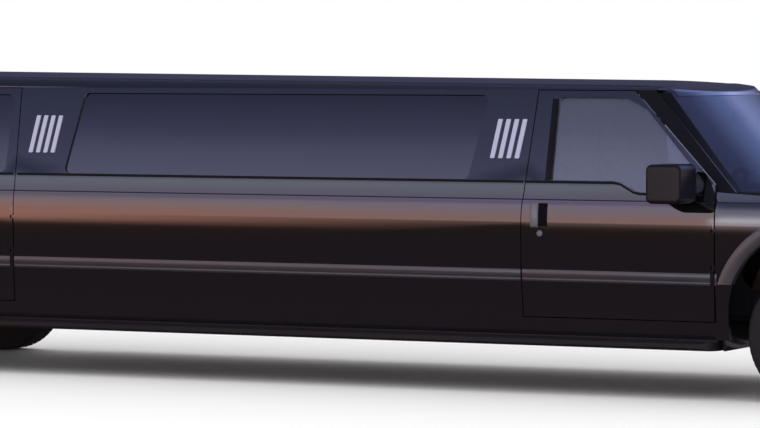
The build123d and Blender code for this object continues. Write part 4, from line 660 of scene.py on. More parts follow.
class NodeTree:
    """A Geometry Nodes tree that is built once and evaluated into plain meshes."""

    def __init__(self, name: str, sizes: dict[str, float]) -> None:
        """Start a tree.

        Args:
            name: The tree's name.
            sizes: Named number inputs with their defaults.
        """
        self.tree = bpy.data.node_groups.new(name, "GeometryNodeTree")
        face = self.tree.interface
        face.new_socket("Geometry", in_out="INPUT", socket_type="NodeSocketGeometry")
        self.ids: dict[str, str] = {}
        for size, value in sizes.items():
            socket = face.new_socket(size, in_out="INPUT", socket_type="NodeSocketFloat")
            socket.default_value = value
            self.ids[size] = socket.identifier
        material = face.new_socket("Finish", in_out="INPUT", socket_type="NodeSocketMaterial")
        self.ids["Finish"] = material.identifier
        face.new_socket("Geometry", in_out="OUTPUT", socket_type="NodeSocketGeometry")
        self.start = add_node(self.tree, "NodeGroupInput")

    def add(self, kind: str, inputs: dict | None = None, **settings: Any) -> bpy.types.Node:
        """Add a node to the tree."""
        return add_node(self.tree, kind, inputs, **settings)

    def size(self, name: str) -> bpy.types.NodeSocket:
        """The socket of a named input."""
        return self.start.outputs[name]

    def close(self, geometry: bpy.types.NodeSocket) -> None:
        """Realize the instances, set the finish and end the tree.

        Args:
            geometry: What the tree made.
        """
        real = self.add("GeometryNodeRealizeInstances", {"Geometry": geometry})
        dressed = self.add("GeometryNodeSetMaterial",
                           {"Geometry": real.outputs[0], "Material": self.size("Finish")})
        self.add("NodeGroupOutput", {"Geometry": dressed.outputs[0]})

    def make(self, name: str, source: bpy.types.Object, finish: Finish, **sizes: float) -> bpy.types.Object:
        """Evaluate the tree on a source shape into a plain mesh object.

        Args:
            name: Name of the new piece.
            source: Object whose shape the tree repeats. It is removed.
            finish: Finish of the result.
            sizes: Values of the named inputs, with underscores for spaces.

        Returns:
            The new object.
        """
        modifier = source.modifiers.new("pattern", "NODES")
        modifier.node_group = self.tree
        for key, value in sizes.items():
            modifier[self.ids[key.replace("_", " ")]] = value
        modifier[self.ids["Finish"]] = finish.material()
        graph = bpy.context.evaluated_depsgraph_get()
        mesh = bpy.data.meshes.new_from_object(source.evaluated_get(graph))
        mesh.name = name
        source.modifiers.remove(modifier)
        bpy.data.objects.remove(source)
        return linked(name, mesh)


def row_tree() -> NodeTree:
    """Tree that repeats a shape along a straight row.

    Returns:
        The tree, with the inputs Count, Step X, Step Y and Step Z.
    """
    row = NodeTree("straight_row", {"Count": 2.0, "Step X": 0.1, "Step Y": 0.0, "Step Z": 0.0})
    step = row.add("ShaderNodeCombineXYZ", {axis: row.size(f"Step {axis}") for axis in "XYZ"})
    line = row.add("GeometryNodeMeshLine",
                   {"Count": row.size("Count"), "Offset": step.outputs[0]}, mode="OFFSET")
    copies = row.add("GeometryNodeInstanceOnPoints",
                     {"Points": line.outputs[0], "Instance": row.start.outputs["Geometry"]})
    row.close(copies.outputs[0])
    return row


def wheel_tree() -> NodeTree:
    """Tree that repeats a shape around a wheel's axle.

    Returns:
        The tree, with the inputs Count, Axle X and Axle Z.
    """
    wheel = NodeTree("around_axle", {"Count": 8.0, "Axle X": 0.0, "Axle Z": 0.0})
    axle = wheel.add("ShaderNodeCombineXYZ", {"X": wheel.size("Axle X"), "Z": wheel.size("Axle Z")})
    points = wheel.add("GeometryNodePoints", {"Count": wheel.size("Count"), "Position": axle.outputs[0]})
    index = wheel.add("GeometryNodeInputIndex")
    share = wheel.add("ShaderNodeMath", {0: index.outputs[0], 1: wheel.size("Count")}, operation="DIVIDE")
    angle = wheel.add("ShaderNodeMath", {0: share.outputs[0], 1: 2 * math.pi}, operation="MULTIPLY")
    turn = wheel.add("ShaderNodeCombineXYZ", {"Y": angle.outputs[0]})
    back = wheel.add("ShaderNodeVectorMath", {0: axle.outputs[0], 1: (-1, -1, -1)}, operation="MULTIPLY")
    centred = wheel.add("GeometryNodeTransform",
                        {"Geometry": wheel.start.outputs["Geometry"], "Translation": back.outputs[0]})
    copies = wheel.add("GeometryNodeInstanceOnPoints",
                       {"Points": points.outputs[0], "Instance": centred.outputs[0], "Rotation": turn.outputs[0]})
    wheel.close(copies.outputs[0])
    return wheel


def plain_tree(name: str) -> bpy.types.NodeTree:
    """Start a tree that takes and gives geometry.

    Args:
        name: The tree's name.

    Returns:
        The tree, without nodes.
    """
    tree = bpy.data.node_groups.new(name, "GeometryNodeTree")
    for way in ("INPUT", "OUTPUT"):
        tree.interface.new_socket("Geometry", in_out=way, socket_type="NodeSocketGeometry")
    return tree


def soften_tree() -> bpy.types.NodeTree:
    """Tree that joins a CAD node's loose triangles and shades them smoothly up to its sharp edges.

    Returns:
        The tree.
    """
    tree = plain_tree("soft_shading")
    start = add_node(tree, "NodeGroupInput")
    joined = add_node(tree, "GeometryNodeMergeByDistance", {"Geometry": start.outputs[0], "Distance": MERGE})
    angle = add_node(tree, "GeometryNodeInputMeshEdgeAngle")
    sharp = add_node(tree, "FunctionNodeCompare", {0: angle.outputs[0], 1: NODE_CREASE}, operation="GREATER_THAN")
    smooth = add_node(tree, "GeometryNodeSetShadeSmooth",
                      {"Geometry": joined.outputs[0], "Shade Smooth": True}, domain="FACE")
    edged = add_node(tree, "GeometryNodeSetShadeSmooth",
                     {"Geometry": smooth.outputs[0], "Selection": sharp.outputs[0], "Shade Smooth": False},
                     domain="EDGE")
    add_node(tree, "NodeGroupOutput", {0: edged.outputs[0]})
    return tree


@dataclass
class Studio:
    """Pale floor, soft lamps, reflection coves beside the vehicle, and the camera."""

    eye: Point3 = (11.689, -23.59, 2.088)
    turn: float = math.radians(26.0)
    dip: float = math.radians(2.291)
    focal_pixels: float = 4057.0
    image: tuple[int, int] = (760, 428)
    sensor: float = 36.0
    floor_half: float = 60.0
    floor_colour: str = "#f4f4f4"
    cove_foot: float = 0.004
    cove_far: float = 13.0
    cove_height: float = 16.0
    cove_half: float = 22.0
    cove_strength: float = 3.4
    # Stations between which the tail's bands change into the nose's
    right_change: Point2 = (-9.5, -4.0)
    left_change: Point2 = (-1.0, 3.0)
    # Edge of the right card's forward end: its two stations, the height where it starts to lean, how much
    # it leans there, and how much more with each metre
    end_edge: Point2 = (-1.87, -1.75)
    end_foot: float = 3.0
    end_lean: float = 0.0835
    end_growth: float = 0.011

    # Bands of the cards: height, colour, radiance
    FOOT: ClassVar[Band] = (0.0, "#ffe0f1", 0.075)
    RIGHT_HEAD: ClassVar[tuple[Band, ...]] = (
        (7.15, "#cccfff", 1.4), (7.45, "#c8caff", 1.14), (7.67, "#bdc0ff", 0.786), (7.9, "#bdc1ff", 0.557),
        (8.15, "#b3c0ff", 0.4), (8.8, "#dbddff", 1.05), (9.1, "#e0e5ff", 1.25), (10.0, "#e0e3ff", 1.17),
        (11.8, "#efd5ff", 0.93), (16.0, "#efd5ff", 0.93),
    )
    RIGHT_TAIL: ClassVar[tuple[Band, ...]] = (
        FOOT, (0.37, "#ffc3ab", 0.11), (0.5, "#ffb7a2", 2.05), (2.07, "#ffb8b0", 1.93), (3.07, "#ffcfc2", 1.76),
        (4.2, "#ffdee3", 1.5), (5.3, "#ffe7fc", 1.15), (5.9, "#f3e2ff", 0.95), *RIGHT_HEAD,
    )
    RIGHT_NOSE: ClassVar[tuple[Band, ...]] = (
        FOOT, (0.49, "#ffcbbc", 0.1), (0.7, "#ffcfc1", 1.6), (1.8, "#ffcece", 1.58), (2.8, "#ffdee6", 1.44),
        (3.8, "#ffe9fb", 1.31), (5.0, "#f5deff", 1.44), (5.8, "#dbc9ff", 1.18), *RIGHT_HEAD,
    )
    # The right card's forward end, which the fender mirrors: paler low down, darker above
    RIGHT_END: ClassVar[tuple[Band, ...]] = (
        FOOT, (0.49, "#ffcbbc", 0.1), (0.7, "#ffe8f2", 2.2), (1.21, "#fff1fb", 2.37),
        (1.71, "#faf3ff", 3.26), (2.21, "#faf4ff", 3.06), (2.72, "#f3efff", 2.33), (3.23, "#ece8ff", 1.76),
        (3.75, "#e5e1ff", 1.45), (4.28, "#e0ddff", 1.36), (4.81, "#dadcff", 1.02), (5.36, "#c9ccff", 0.69),
        (5.93, "#b7c3ff", 0.5), (6.52, "#b7c2ff", 0.49), (8.15, "#b3c0ff", 0.4), (8.8, "#c0cdff", 0.95),
        (10.0, "#bdcaff", 1.11), (11.0, "#c4cbff", 0.94), (11.4, "#cdc9ff", 0.73), (16.0, "#cdc9ff", 0.73),
    )
    LEFT_LOW: ClassVar[tuple[Band, ...]] = (
        FOOT, (0.45, "#ffc3ab", 0.11), (0.6, "#ffbcaa", 2.0), (1.6, "#ffbcb2", 1.9),
    )
    LEFT_TAIL: ClassVar[tuple[Band, ...]] = (*LEFT_LOW, (2.0, "#c5c5ff", 0.09), (16.0, "#b4bcff", 0.11))
    LEFT_NOSE: ClassVar[tuple[Band, ...]] = (
        *LEFT_LOW, (2.0, "#bcbcff", 0.2), (5.5, "#adbcff", 1.2), (7.1, "#afbbff", 1.65), (8.3, "#9bb2ff", 1.28),
        (9.5, "#9bb0ff", 1.1), (10.5, "#9cafff", 0.75), (11.5, "#9eaaff", 0.5), (16.0, "#a5b3ff", 0.4),
    )

    def build(self) -> None:
        """Make the stage."""
        self.camera()
        self.floor()
        self.world()
        self.lamps()
        for side in Side:
            self.cove(side)

    def camera(self) -> None:
        """Stand the camera where the photograph was taken from."""
        data = bpy.data.cameras.new("camera")
        data.sensor_width = self.sensor
        data.lens = self.focal_pixels * self.sensor / self.image[0]
        data.clip_end = 300
        eye = linked("camera", data)
        level = math.cos(self.dip)
        ahead = Vector((-math.sin(self.turn) * level, math.cos(self.turn) * level, -math.sin(self.dip)))
        eye.location = self.eye
        eye.rotation_euler = ahead.to_track_quat("-Z", "Y").to_euler()
        bpy.context.scene.camera = eye

    def floor(self) -> None:
        """Lay a pale matt floor."""
        bm = bmesh.new()
        bmesh.ops.create_grid(bm, x_segments=1, y_segments=1, size=self.floor_half)
        finish = Finish("pale_floor", self.floor_colour, 0.9, specular=0.1, grain_mm=300, relief_mm=0.0,
                        mottle=0.01)
        finished("floor", bm, finish)

    def world(self) -> None:
        """White behind the vehicle and through its glass, dusk blue in its gloss, plain light elsewhere."""
        world = bpy.data.worlds.new("studio")
        bpy.context.scene.world = world
        world.use_nodes = True
        tree = world.node_tree
        path = add_node(tree, "ShaderNodeLightPath")
        gloss = add_node(tree, "ShaderNodeMix",
                         {0: path.outputs["Is Glossy Ray"], 6: linear("#fafafa"), 7: linear("#5c6384")},
                         data_type="RGBA")
        seen = add_node(tree, "ShaderNodeMath",
                        {0: path.outputs["Is Camera Ray"], 1: path.outputs["Is Transmission Ray"]},
                        operation="MAXIMUM")
        shown = add_node(tree, "ShaderNodeMix", {0: seen.outputs[0], 6: gloss.outputs[2], 7: linear("#ffffff")},
                         data_type="RGBA")
        tree.links.new(shown.outputs[2], tree.nodes["Background"].inputs["Color"])

    def lamps(self) -> None:
        """Hang soft boxes: over the roof, and high on each side."""
        table = (
            # name, place, width, depth, watts
            ("over_roof", (0.0, -2.5, 8.0), 22.0, 13.0, 350.0),
            ("right_high", (4.0, -11.0, 8.0), 10.0, 4.0, 80.0),
            ("left_high", (-4.0, 11.0, 8.0), 10.0, 4.0, 60.0),
        )
        for name, place, width, depth, watts in table:
            data = bpy.data.lights.new(name, "AREA")
            data.shape = "RECTANGLE"
            data.size = width
            data.size_y = depth
            data.energy = watts
            lamp = linked(name, data)
            lamp.location = place
            aim = Vector((0.0, 0.0, 0.8)) - Vector(place)
            lamp.rotation_euler = aim.to_track_quat("-Z", "Y").to_euler()
            lamp.visible_glossy = False

    def ramp(
        self, tree: bpy.types.NodeTree, share: bpy.types.NodeSocket, bands: Sequence[Band],
    ) -> bpy.types.NodeSocket:
        """Colour by height on a card.

        Args:
            tree: The card's node tree.
            share: Height as a share of the card's.
            bands: Height, colour and radiance of each stop.

        Returns:
            The colour socket, in units of the card's strength.
        """
        node = add_node(tree, "ShaderNodeValToRGB", {"Fac": share})
        stops = node.color_ramp.elements
        for i, (height, colour, radiance) in enumerate(bands):
            place = height / self.cove_height
            stop = stops[i] if i < 2 else stops.new(place)
            stop.position = place
            stop.color = [c * radiance / self.cove_strength for c in linear(colour)[:3]] + [1.0]
        return node.outputs["Color"]

    def card_end(self, tree: bpy.types.NodeTree, place: bpy.types.Node) -> bpy.types.NodeSocket:
        """Share of the right card's forward end, whose edge leans as the fender's seam does in the mirror.

        Args:
            tree: The card's node tree.
            place: Node that splits the place on the card.

        Returns:
            The share, from 0 to 1.
        """
        known = {"x": place.outputs["X"], "z": place.outputs["Z"]}
        sums = (
            # result, operation, inputs
            ("up", "SUBTRACT", ("z", self.end_foot)),
            ("above", "MAXIMUM", ("up", 0.0)),
            ("slope", "MULTIPLY_ADD", ("above", self.end_growth, self.end_lean)),
            ("at", "MULTIPLY_ADD", ("above", "slope", "x")),
        )
        for result, operation, inputs in sums:
            fed = {i: known.get(value, value) for i, value in enumerate(inputs)}
            known[result] = add_node(tree, "ShaderNodeMath", fed, operation=operation).outputs[0]
        return add_node(tree, "ShaderNodeMapRange",
                        {"Value": known["at"], "From Min": self.end_edge[0], "From Max": self.end_edge[1]},
                        ).outputs["Result"]

    def cove(self, side: Side) -> None:
        """Stand a dusk-toned card beside the vehicle that only its gloss and glass show.

        Args:
            side: Side of the vehicle.
        """
        bm = bmesh.new()
        rows = [(0.0, self.cove_foot), (self.cove_far, self.cove_foot), (self.cove_far, self.cove_height)]
        lines = [[bm.verts.new((x, side.value * y, z)) for x in (-self.cove_half, self.cove_half)]
                 for y, z in rows]
        for a, b in zip(lines, lines[1:]):
            bm.faces.new((a[0], a[1], b[1], b[0]))
        card = finished(f"reflection_cove_{side.word}", bm, BLACK_PLASTIC, smooth=False)
        made = bpy.data.materials.new(f"dusk_card_{side.word}")
        made.use_nodes = True
        tree = made.node_tree
        tree.nodes.clear()
        where = add_node(tree, "ShaderNodeTexCoord").outputs["Object"]
        part = add_node(tree, "ShaderNodeSeparateXYZ", {"Vector": where})
        share = add_node(tree, "ShaderNodeMapRange",
                         {"Value": part.outputs["Z"], "From Min": 0.0, "From Max": self.cove_height},
                         ).outputs["Result"]
        change, tail, nose = ((self.right_change, self.RIGHT_TAIL, self.RIGHT_NOSE) if side is Side.RIGHT else
                              (self.left_change, self.LEFT_TAIL, self.LEFT_NOSE))
        along = add_node(tree, "ShaderNodeMapRange",
                         {"Value": part.outputs["X"], "From Min": change[0], "From Max": change[1]},
                         ).outputs["Result"]
        colour = add_node(tree, "ShaderNodeMix",
                          {0: along, 6: self.ramp(tree, share, tail), 7: self.ramp(tree, share, nose)},
                          data_type="RGBA")
        if side is Side.RIGHT:
            colour = add_node(tree, "ShaderNodeMix",
                              {0: self.card_end(tree, part), 6: colour.outputs[2],
                               7: self.ramp(tree, share, self.RIGHT_END)}, data_type="RGBA")
        glow = add_node(tree, "ShaderNodeEmission", {"Color": colour.outputs[2], "Strength": self.cove_strength})
        add_node(tree, "ShaderNodeOutputMaterial", {"Surface": glow.outputs[0]})
        card.data.materials[0] = made
        for ray in ("camera", "diffuse", "transmission", "shadow"):
            setattr(card, f"visible_{ray}", False)


@dataclass
class BodySide:
    """The body's side: its half width at each height, and plates and strips that follow it."""

    rows: ClassVar[tuple[Point2, ...]] = (
        # height, half width
        (0.365, 0.960), (0.440, 0.985), (0.760, 1.012), (1.050, 1.016), (1.084, 1.0150), (1.118, 1.0120),
        (1.152, 1.0071), (1.186, 1.000), (1.193, 0.993), (1.300, 0.968), (1.856, 0.830),
    )
    tilts: ClassVar[tuple[Point2, ...]] = (
        # height, degrees that the side faces upward
        (0.365, -18.4), (0.425, -18.4), (0.455, -4.8), (0.735, -4.8), (0.785, -0.8), (1.050, 0.2), (1.186, 13.4),
        (1.187, 21.5), (1.299, 17.5), (1.301, 14.97), (1.856, 13.9),
    )

    @classmethod
    def half_width(cls, z: float) -> float:
        """Half width at a height.

        Args:
            z: The height.

        Returns:
            The half width, which stays the same above the last row.
        """
        for (z0, y0), (z1, y1) in zip(cls.rows, cls.rows[1:]):
            if z <= z1:
                return y0 + (y1 - y0) * (z - z0) / (z1 - z0)
        return y1

    @classmethod
    def strip(cls, name: str, path: Sequence[Point2], section: Sequence[Point2], tall: float, proud: float,
              finish: Finish, taper: float = 0.012) -> bpy.types.Object:
        """Make a right side strip along the body.

        Args:
            name: The piece's name.
            path: X and Z of the strip's foot, from the rear.
            section: Share of the height and of the stand, round the strip.
            tall: Height.
            proud: Stand out of the body.
            finish: Its finish.
            taper: Length at each end in which the stand halves.

        Returns:
            The piece.
        """
        (x0, z0), (x1, z1) = path[0], path[-1]
        stations = [(x0, z0, 0.5), (x0 + taper, z0, 1.0), *[(x, z, 1.0) for x, z in path[1:-1]],
                    (x1 - taper, z1, 1.0), (x1, z1, 0.5)]
        rings = []
        for x, foot, shrink in stations:
            ring = []
            for up, out in section:
                z = foot + tall * up
                stand = proud * (out * shrink if out > 0 else out)
                ring.append((x, -cls.half_width(z) - stand, z))
            rings.append(ring)
        return shaped(name, finish, skin, (rings,))

    @classmethod
    def plate(cls, name: str, x: Point2, z: Point2, stand: float, finish: Finish,
              soft: float = 0.006) -> bpy.types.Object:
        """Make a right side plate with rounded edges that lies on the body.

        Args:
            name: The piece's name.
            x: Rear and front end.
            z: Foot and top.
            stand: Stand out of the body.
            finish: Its finish.
            soft: Width of the rounded edge.

        Returns:
            The piece.
        """
        # Way from the edge, in widths of the rounded edge, and share of the stand there
        edge = ((0.0, 0.35), (0.4, 0.8), (1.0, 1.0))
        levels = [*((z[0] + way * soft, share) for way, share in edge), (sum(z) / 2, 1.0),
                  *((z[1] - way * soft, share) for way, share in reversed(edge))]
        rings = []
        for level, height in levels:
            y, out = -cls.half_width(level), stand * height
            rings.append([(x[0], y + 0.004, level),
                          *((x[0] + way * soft, y - share * out, level) for way, share in edge),
                          *((x[1] - way * soft, y - share * out, level) for way, share in reversed(edge)),
                          (x[1], y + 0.004, level)])
        return shaped(name, finish, skin, (rings,))


def side_tree() -> bpy.types.NodeTree:
    """Tree that gives the body's side skin one run of normals, so that its gloss goes on from panel to panel.

    Returns:
        The tree.
    """
    tree = plain_tree("side_normals")
    start = add_node(tree, "NodeGroupInput")
    position = add_node(tree, "GeometryNodeInputPosition").outputs[0]
    place = add_node(tree, "ShaderNodeSeparateXYZ", {"Vector": position}).outputs
    normals = add_node(tree, "GeometryNodeInputNormal").outputs
    own = normals["Normal"]
    facet = add_node(tree, "GeometryNodeFieldOnDomain", {0: normals["True Normal"]},
                     data_type="FLOAT_VECTOR", domain="FACE")
    flat = add_node(tree, "ShaderNodeSeparateXYZ", {"Vector": facet.outputs[0]}).outputs
    tilt: Any = math.radians(BodySide.tilts[0][1])
    for (z0, t0), (z1, t1) in zip(BodySide.tilts, BodySide.tilts[1:]):
        step = add_node(tree, "ShaderNodeMapRange",
                        {"Value": place["Z"], "From Min": z0, "From Max": z1, "To Min": 0.0,
                         "To Max": math.radians(t1 - t0)})
        tilt = add_node(tree, "ShaderNodeMath", {0: tilt, 1: step.outputs["Result"]}, operation="ADD").outputs[0]
    known = {"flat_x": flat["X"], "flat_y": flat["Y"], "flat_z": flat["Z"], "y": place["Y"], "tilt": tilt}
    sums = (
        # result, operation, inputs
        ("side", "SIGN", ("y",)),
        ("rise", "SINE", ("tilt",)),
        ("level", "COSINE", ("tilt",)),
        ("width", "MULTIPLY", ("level", "side")),
        # The skin faces outward, at nearly the tilt of its height
        ("facing", "MULTIPLY", ("flat_y", "side")),
        ("outward", "GREATER_THAN", ("facing", 0.85)),
        ("off", "SUBTRACT", ("flat_z", "rise")),
        ("far", "ABSOLUTE", ("off",)),
        ("near", "LESS_THAN", ("far", 0.3)),
        ("skin", "MULTIPLY", ("outward", "near")),
        # A flat facet doesn't take the turn of the rounded edge that it ends in
        ("turn", "ABSOLUTE", ("flat_x",)),
        ("curved", "GREATER_THAN", ("turn", 0.002)),
        ("plain", "SUBTRACT", ("skin", "curved")),
    )
    for result, operation, inputs in sums:
        fed = {i: known.get(value, value) for i, value in enumerate(inputs)}
        known[result] = add_node(tree, "ShaderNodeMath", fed, operation=operation).outputs[0]
    bent = add_node(tree, "ShaderNodeSeparateXYZ", {"Vector": own}).outputs["X"]
    along = add_node(tree, "GeometryNodeSwitch",
                     {"Switch": known["curved"], "False": flat["X"], "True": bent}, input_type="FLOAT")
    even = add_node(tree, "ShaderNodeCombineXYZ",
                    {"X": along.outputs[0], "Y": known["width"], "Z": known["rise"]})
    chosen = add_node(tree, "GeometryNodeSwitch",
                      {"Switch": known["skin"], "False": own, "True": even.outputs[0]}, input_type="VECTOR")
    unit = add_node(tree, "ShaderNodeVectorMath", {0: chosen.outputs[0]}, operation="NORMALIZE")
    kept = add_node(tree, "GeometryNodeStoreNamedAttribute",
                    {"Geometry": start.outputs[0], "Name": "skin_normal", "Value": unit.outputs[0]},
                    data_type="FLOAT_VECTOR", domain="CORNER")
    # The flat skin stands apart from the rounded edges, so that no point shares their normals
    apart = add_node(tree, "GeometryNodeSeparateGeometry",
                     {"Geometry": kept.outputs[0], "Selection": known["plain"]}, domain="FACE")
    joined = add_node(tree, "GeometryNodeJoinGeometry")
    for part in apart.outputs[:2]:
        tree.links.new(part, joined.inputs[0])
    skin_normal = add_node(tree, "GeometryNodeInputNamedAttribute", {"Name": "skin_normal"},
                           data_type="FLOAT_VECTOR")
    done = add_node(tree, "GeometryNodeSetMeshNormal",
                    {"Mesh": joined.outputs[0], "Custom Normal": skin_normal.outputs[0]},
                    mode="FREE", domain="CORNER")
    add_node(tree, "NodeGroupOutput", {0: done.outputs[0]})
    return tree


def dress(node: bpy.types.Object, finish: Finish, soft: bpy.types.NodeTree, edge: float = 0.0) -> None:
    """Give a CAD node a finish, smooth shading and rounded edges.

    Args:
        node: The CAD node's object.
        finish: Its finish.
        soft: Tree that shades it.
        edge: Radius of its rounded edges, or 0.
    """
    node.data.materials.clear()
    node.data.materials.append(finish.material())
    shading = node.modifiers.new("soft_shading", "NODES")
    shading.node_group = soft
    if edge:
        bevel = node.modifiers.new("edge_round", "BEVEL")
        bevel.width = edge
        bevel.segments = 2
        bevel.limit_method = "ANGLE"
        bevel.angle_limit = math.radians(40)
        bevel.harden_normals = True


@dataclass
class Shell:
    """The CAD nodes that stay, each with its finish and edge radius."""

    TABLE: ClassVar[tuple[tuple[Finish, float, tuple[str, ...]], ...]] = (
        # finish, edge radius in mm, nodes
        (PAINT, 2.5, ("side_panel_right", "side_panel_left", "rear_quarter_right", "rear_quarter_left",
                      "front_fender_right", "front_fender_left", "roof_panel", "hood", "liftgate", "nose_panel")),
        (PAINT, 1.2, ("front_door_right", "front_door_left", "rear_door_right", "rear_door_left")),
        (PAINT, 6.0, ("front_bumper", "rear_bumper")),
        (PILLAR_COAT, 2.5, ("cowl_and_pillars",)),
        (BOARD_COAT, 3.0, ("running_boards",)),
        (MIRROR_SHELL, 2.0, ("door_mirror_right", "door_mirror_left")),
        (BLACK_PLASTIC, 2.0, ("dashboard", "steering_wheel")),
        (CHROME, 1.5, ("grille",)),
        (SATIN_SILVER, 1.0, ("louvre_bars",)),
        (SIDE_TINT, 0.0, ("side_glass", "liftgate_glass", "rear_door_glass_right", "rear_door_glass_left")),
        (DOOR_TINT, 0.0, ("front_door_glass_right", "front_door_glass_left")),
        (SCREEN_GLASS, 0.0, ("windshield",)),
        (CLEAR_LENS, 2.0, ("head_lamps",)),
        (RED_LENS, 2.0, ("tail_lamps",)),
        (FRAME_PAINT, 3.0, ("chassis_frame", "tow_points", "floor_pan")),
        (CAST_IRON, 3.0, ("engine_and_gearbox", "front_axle", "rear_axle", "knuckle_right", "knuckle_left")),
        (EXHAUST_STEEL, 0.0, ("propeller_shaft", "exhaust")),
        (BLACK_PLASTIC, 0.0, ("fuel_tank",)),
        (ALLOY, 1.5, ("rim_front_right", "rim_front_left", "rim_rear_right", "rim_rear_left")),
        (WALNUT, 3.0, ("bar_cabinet",)),
        (CARPET, 3.0, ("partition",)),
    )

    # Painted nodes whose gloss goes on from one to the next
    SIDES: ClassVar[tuple[str, ...]] = ("side_panel", "rear_quarter", "front_fender", "front_door", "rear_door")

    def dress(self, nodes: dict[str, bpy.types.Object]) -> None:
        """Finish every node of the table.

        Args:
            nodes: CAD nodes by name.
        """
        soft, even = soften_tree(), side_tree()
        for finish, edge, names in self.TABLE:
            for name in names:
                dress(nodes[name], finish, soft, edge * MM)
                if name.startswith(self.SIDES) and finish is PAINT:
                    nodes[name].modifiers.new("side_normals", "NODES").node_group = even


